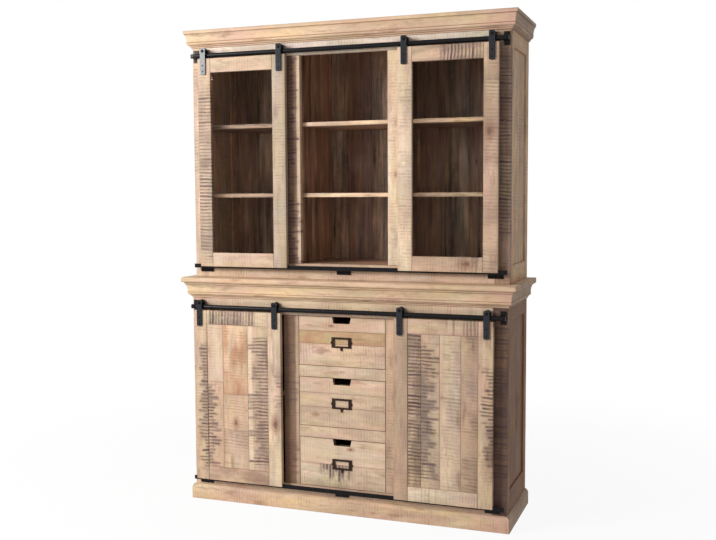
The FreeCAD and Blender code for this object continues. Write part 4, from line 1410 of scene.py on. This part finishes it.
# Sides of round heads and shanks, of hexagons and of rollers
ROUND, HEXAGON, ROLLER = 32, 6, 48
# Shares of a head's rise that is rounded, and of a screw's head that its recess crosses
DOME, RECESS = 0.8, 0.6
# Sizes of a nut and of a label holder's boss as shares of a bolt's head
NUT, BOSS = 1.15, 0.8
# How much of its bore a shank fills, and how full the curve of a roller's groove is
SHANK, GROOVE = 0.97, 0.8


def copy_of(node):
    """The frame's own shape, its loose triangles merged into clean faces and its edges softened."""
    deselect()
    made = bpy.data.objects.new("Fitting", frame["nodes"][node].data.copy())
    bpy.context.collection.objects.link(made)
    with opened(made) as mesh:
        mesh.remove_doubles(threshold=WELD)
        mesh.dissolve_limited(angle_limit=math.radians(FLAT))
        mesh.normals_make_consistent(inside=False)
    soften(made, bpy.context.scene.cabinet_iron.soft_edge, angle=CURVED)
    return made


def round_bar(radius, length_, sides=ROUND):
    """A short round bar that stands out along -Y from the middle of the cabinet."""
    deselect()
    bpy.ops.mesh.primitive_cylinder_add(
        vertices=sides,
        radius=radius,
        depth=length_,
        location=(0, -length_ / 2, 0),
        rotation=(math.pi / 2, 0, 0),
    )
    bpy.ops.object.transform_apply(location=True, rotation=True, scale=True)
    return bpy.context.active_object


def domed(radius, rise):
    """A low round head with its seat in the plane of the case."""
    made = round_bar(radius, rise)
    with opened(made, lambda a, b: max(a.y, b.y) < -rise / 2) as mesh:
        mesh.bevel(offset=rise * DOME, segments=4, affect="EDGES", clamp_overlap=True)
    return made


def screw_head():
    """The domed head of a wood screw with a cross recess."""
    iron = bpy.context.scene.cabinet_iron
    made = domed(iron.screw_radius, iron.screw_rise)
    long_, wide = iron.screw_radius * RECESS, iron.slot_width / 2
    y = (-iron.screw_rise * 2, iron.slot_depth - iron.screw_rise)
    for x, z in ((long_, wide), (wide, long_)):
        slot = block((-x, y[0], -z), (x, y[1], z))
        cut(made, slot)
        discard(slot)
    return made


def bolt_head():
    """The round head of an axle bolt with a hexagon socket."""
    iron = bpy.context.scene.cabinet_iron
    made = domed(iron.head_radius, iron.head_rise)
    socket = round_bar(iron.socket_radius, iron.socket_depth * 2, HEXAGON)
    socket.data.transform(Matrix.Translation((0, iron.socket_depth - iron.head_rise, 0)))
    cut(made, socket)
    discard(socket)
    return made


def copies(first, places):
    """One copy of a piece at each place, each with a mesh of its own, in place of the first."""
    made = []
    for place in places:
        twin = bpy.data.objects.new(first.name, first.data.copy())
        twin.data.transform(Matrix.Translation(place))
        bpy.context.collection.objects.link(twin)
        made.append(twin)
    discard(first)
    return made


class CABINET_OT_sliding_gear(bpy.types.Operator):
    """Makes the rails, their brackets and bolts, and the guide bars with their screws."""

    bl_idname = "cabinet.sliding_gear"
    bl_label = "Rails and guide bars"

    def execute(self, context):
        iron = context.scene.cabinet_iron
        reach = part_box("rail_end_bolts")[1].x - iron.end_bolt
        screws = []
        for tier in TIERS:
            stand_for(copy_of(f"{tier}_rail"), f"{tier}_rail_bar", f"{tier}_rail")
            middle = sum(limits_of(f"{tier}_rail")[2]) / 2
            face = room(tier).face[0]
            for x in (-reach, reach):
                for z in (middle - iron.plate_screw, middle + iron.plate_screw):
                    screws.append(Vector((x, face - iron.plate, z)))
            self.guide(f"{tier}_guide", f"{tier}_guide_bar", face - iron.tab, iron)
        plates = [copy_of("rail_brackets"), *copies(screw_head(), screws)]
        stand_for(joined(plates), "rail_plates", "rail_brackets")
        stand_for(copy_of("rail_end_bolts"), "rail_bolts", "rail_end_bolts")
        return {"FINISHED"}

    def guide(self, name, node, front, iron):
        """A guide bar with two screws in the foot of each of its three tabs."""
        points = [v.co for v in frame["nodes"][node].data.vertices]
        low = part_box(node)[0].z
        foot = [point.x for point in points if point.z < low + iron.soft_edge]
        edge = max(foot)
        outer = (edge + min(x for x in foot if x > edge / 2)) / 2
        bar_low = min(point.z for point in points if point.x > edge + iron.soft_edge)
        places = [
            Vector((middle + side * iron.tab_screw, front, (low + bar_low) / 2))
            for middle in (-outer, 0, outer)
            for side in (-1, 1)
        ]
        stand_for(joined([copy_of(node), *copies(screw_head(), places)]), name, node)


class CABINET_OT_hangers(bpy.types.Operator):
    """Makes the straps with their screws, the axle bolts and the grooved rollers."""

    bl_idname = "cabinet.hangers"
    bl_label = "Door hangers"

    def execute(self, context):
        iron = context.scene.cabinet_iron
        for door in DOOR_LOOKS:
            axles = []
            for end in ("left", "right"):
                low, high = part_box(f"{door}_{end}_roller")
                axles.append((low + high) / 2)
                self.roller(f"{door}_{end}_roller", low, high, iron)
            self.straps(door, axles, iron)
            self.bolts(door, axles, iron)
        return {"FINISHED"}

    def roller(self, node, low, high, iron):
        """A wheel spun from half its section, with a round groove that fits the rail."""
        centre, half, rim = (low + high) / 2, (high.y - low.y) / 2, (high.z - low.z) / 2
        edge = half - iron.roller_rim
        bow = (iron.groove_radius - rim) / (2 * edge) * GROOVE
        section = [(-half, iron.bore), (-half, rim), (-edge, rim)]
        section += arc((-edge, rim), (edge, rim), bow, steps=12)
        section += [(half, rim), (half, iron.bore)]
        made = outline([centre + Vector((0, y, radius)) for y, radius in section], filled=False)
        with opened(made) as mesh:
            mesh.spin(steps=ROLLER, angle=math.tau, center=centre, axis=(0, 1, 0))
            mesh.select_all(action="SELECT")
            mesh.remove_doubles(threshold=WELD)
            mesh.normals_make_consistent(inside=False)
        stand_for(made, f"{node}_wheel", node)

    def straps(self, door, axles, iron):
        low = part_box(f"{door}_straps")[0]
        places = [
            Vector((axle.x, low.y, low.z + rise))
            for axle in axles
            for rise in (iron.strap_screw_low, iron.strap_screw_high)
        ]
        plates = joined([copy_of(f"{door}_straps"), *copies(screw_head(), places)])
        stand_for(plates, f"{door}_strap_plates", f"{door}_straps", coat="Blackened Steel")
        plates.data.materials.append(bpy.data.materials["Black Powder Coat"])
        for face in plates.data.polygons:
            face.material_index = int(face.center.y < low.y - WELD)

    def bolts(self, door, axles, iron):
        """Each bolt: a head on the strap, a shank through the roller and a nut behind it."""
        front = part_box(f"{door}_straps")[0].y
        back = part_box(f"{door}_axle_bolts")[1].y
        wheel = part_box(f"{door}_left_roller")[1].y
        parts = []
        shank = round_bar(iron.bore * SHANK, back - front)
        nut = round_bar(iron.head_radius * NUT, back - wheel - iron.soft_edge, HEXAGON)
        soften(nut, iron.soft_edge)
        for shape, seat in ((bolt_head(), front), (shank, back), (nut, back)):
            parts += copies(shape, [Vector((axle.x, seat, axle.z)) for axle in axles])
        stand_for(joined(parts), f"{door}_axles", f"{door}_axle_bolts")


class CABINET_OT_label_holders(bpy.types.Operator):
    """Makes the three empty label holders with a screw in each ear."""

    bl_idname = "cabinet.label_holders"
    bl_label = "Label holders"

    def execute(self, context):
        iron = context.scene.cabinet_iron
        for name in DRAWERS:
            node = f"{name}_drawer_label_holder"
            low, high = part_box(node)
            seat = (low.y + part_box(f"{name}_drawer_front")[0].y) / 2
            ear = max(frame["nodes"][node].data.vertices, key=lambda v: v.co.x).co
            reach, radius = high.x - iron.label_screw, iron.head_radius * BOSS
            screws = copies(screw_head(), [Vector((x, seat, ear.z)) for x in (-reach, reach)])
            boss = copies(domed(radius, iron.screw_rise), [Vector((0, seat, low.z + radius))])
            holder = joined([copy_of(node), *screws, *boss])
            stand_for(holder, f"{name}_label_frame", node, coat="Dark Bronze")
        return {"FINISHED"}


# Studio


def white_for_the_camera(sheet, output, surface, share):
    """Shows the camera, mirrors and panes a share of pure white, and gives the rest its shader."""
    path = sheet.add("ShaderNodeLightPath").outputs
    seen = sheet.greatest(*(path[f"Is {ray} Ray"] for ray in ("Camera", "Glossy", "Transmission")))
    white = sheet.add("ShaderNodeEmission").outputs[0]
    mixed = sheet.add("ShaderNodeMixShader", seen * share, surface, white)
    sheet.feed(output.inputs["Surface"], mixed.outputs[0])


class CABINET_OT_studio(bpy.types.Operator):
    """Lays the pale floor, hangs the lamp, fills the room with light and places the camera."""

    bl_idname = "cabinet.studio"
    bl_label = "Studio"

    def execute(self, context):
        studio = context.scene.cabinet_studio
        self.floor(studio)
        self.light(context.scene, studio)
        self.camera(context.scene, studio)
        context.scene.view_settings.view_transform = "Standard"
        return {"FINISHED"}

    def floor(self, studio):
        deselect()
        bpy.ops.mesh.primitive_plane_add(size=studio.floor_size, location=(0, 0, 0))
        floor = bpy.context.active_object
        floor.name = "floor"
        material, sheet, surface = new_material("Pale Floor", Roughness=0.9)
        place = sheet.place()
        tone = sheet.mix(
            sheet.noise(place, 3.0, 3.0), (0.80, 0.80, 0.80, 1.0), (0.84, 0.84, 0.84, 1.0)
        )
        sheet.feed(surface.inputs["Base Color"], tone)
        # The floor fades to pure white with its distance from the cabinet
        away = sheet.add("ShaderNodeVectorMath", place, operation="LENGTH").outputs["Value"]
        share = sheet.ramp(away, 0.9, 3.0, 0.92, 1.0)
        output = material.node_tree.nodes["Material Output"]
        white_for_the_camera(sheet, output, surface.outputs[0], share)
        floor.data.materials.append(material)

    def light(self, scene, studio):
        world = bpy.data.worlds.new("Studio")
        world.use_nodes = True
        scene.world = world
        sheet = Sheet(world.node_tree)
        fill = world.node_tree.nodes["Background"]
        fill.inputs["Color"].default_value = (1.0, 1.0, 1.0, 1.0)
        fill.inputs["Strength"].default_value = studio.sky
        output = world.node_tree.nodes["World Output"]
        white_for_the_camera(sheet, output, fill.outputs[0], 1.0)
        lamp_data = bpy.data.lights.new("Key", "AREA")
        lamp_data.shape = "RECTANGLE"
        lamp_data.size = studio.key_width
        lamp_data.size_y = studio.key_height
        lamp_data.energy = studio.key_power
        lamp = bpy.data.objects.new("Key", lamp_data)
        scene.collection.objects.link(lamp)
        low, high = CAD_BOX
        lamp.location = studio.key_place
        aim = (Vector(low) + Vector(high)) / 2 - lamp.location
        lamp.rotation_euler = aim.to_track_quat("-Z", "Y").to_euler()

    def camera(self, scene, studio):
        yaw, pitch, roll = studio.camera_turn
        data = bpy.data.cameras.new("Camera")
        data.lens = studio.lens
        data.sensor_width = 36.0
        camera = bpy.data.objects.new("Camera", data)
        scene.collection.objects.link(camera)
        turn = Matrix.Rotation(yaw, 4, "Z") @ Matrix.Rotation(math.pi / 2 - pitch, 4, "X")
        turn = turn @ Matrix.Rotation(roll, 4, "Z")
        camera.matrix_world = Matrix.Translation(studio.camera_place) @ turn
        scene.camera = camera


class CABINET_PT_panel(bpy.types.Panel):
    """Lists the cabinet's steps and its sizes."""

    bl_idname = "CABINET_PT_panel"
    bl_label = "Buffet Cabinet"
    bl_space_type = "VIEW_3D"
    bl_region_type = "UI"
    bl_category = "Cabinet"

    def draw(self, context):
        column = self.layout.column(align=True)
        for step in STEPS:
            column.operator(step.bl_idname)
        for name, group in SETTINGS.items():
            box = self.layout.box()
            box.label(text=group.__doc__)
            for field in group.__annotations__:
                box.prop(getattr(context.scene, name), field)


STEPS = (
    CABINET_OT_finishes,
    CABINET_OT_face_frames,
    CABINET_OT_sides,
    CABINET_OT_inner_boards,
    CABINET_OT_mouldings,
    CABINET_OT_doors,
    CABINET_OT_drawers,
    CABINET_OT_sliding_gear,
    CABINET_OT_hangers,
    CABINET_OT_label_holders,
    CABINET_OT_studio,
)


def register():
    for group in (*SETTINGS.values(), *STEPS, CABINET_PT_panel):
        bpy.utils.register_class(group)
    for name, group in SETTINGS.items():
        setattr(bpy.types.Scene, name, PointerProperty(type=group))


def unregister():
    for name in SETTINGS:
        delattr(bpy.types.Scene, name)
    for group in reversed((*SETTINGS.values(), *STEPS, CABINET_PT_panel)):
        bpy.utils.unregister_class(group)


def main():
    register()
    for step in STEPS:
        name = step.bl_idname.split(".")[1]
        getattr(bpy.ops.cabinet, name)()


if __name__ == "__main__":
    main()
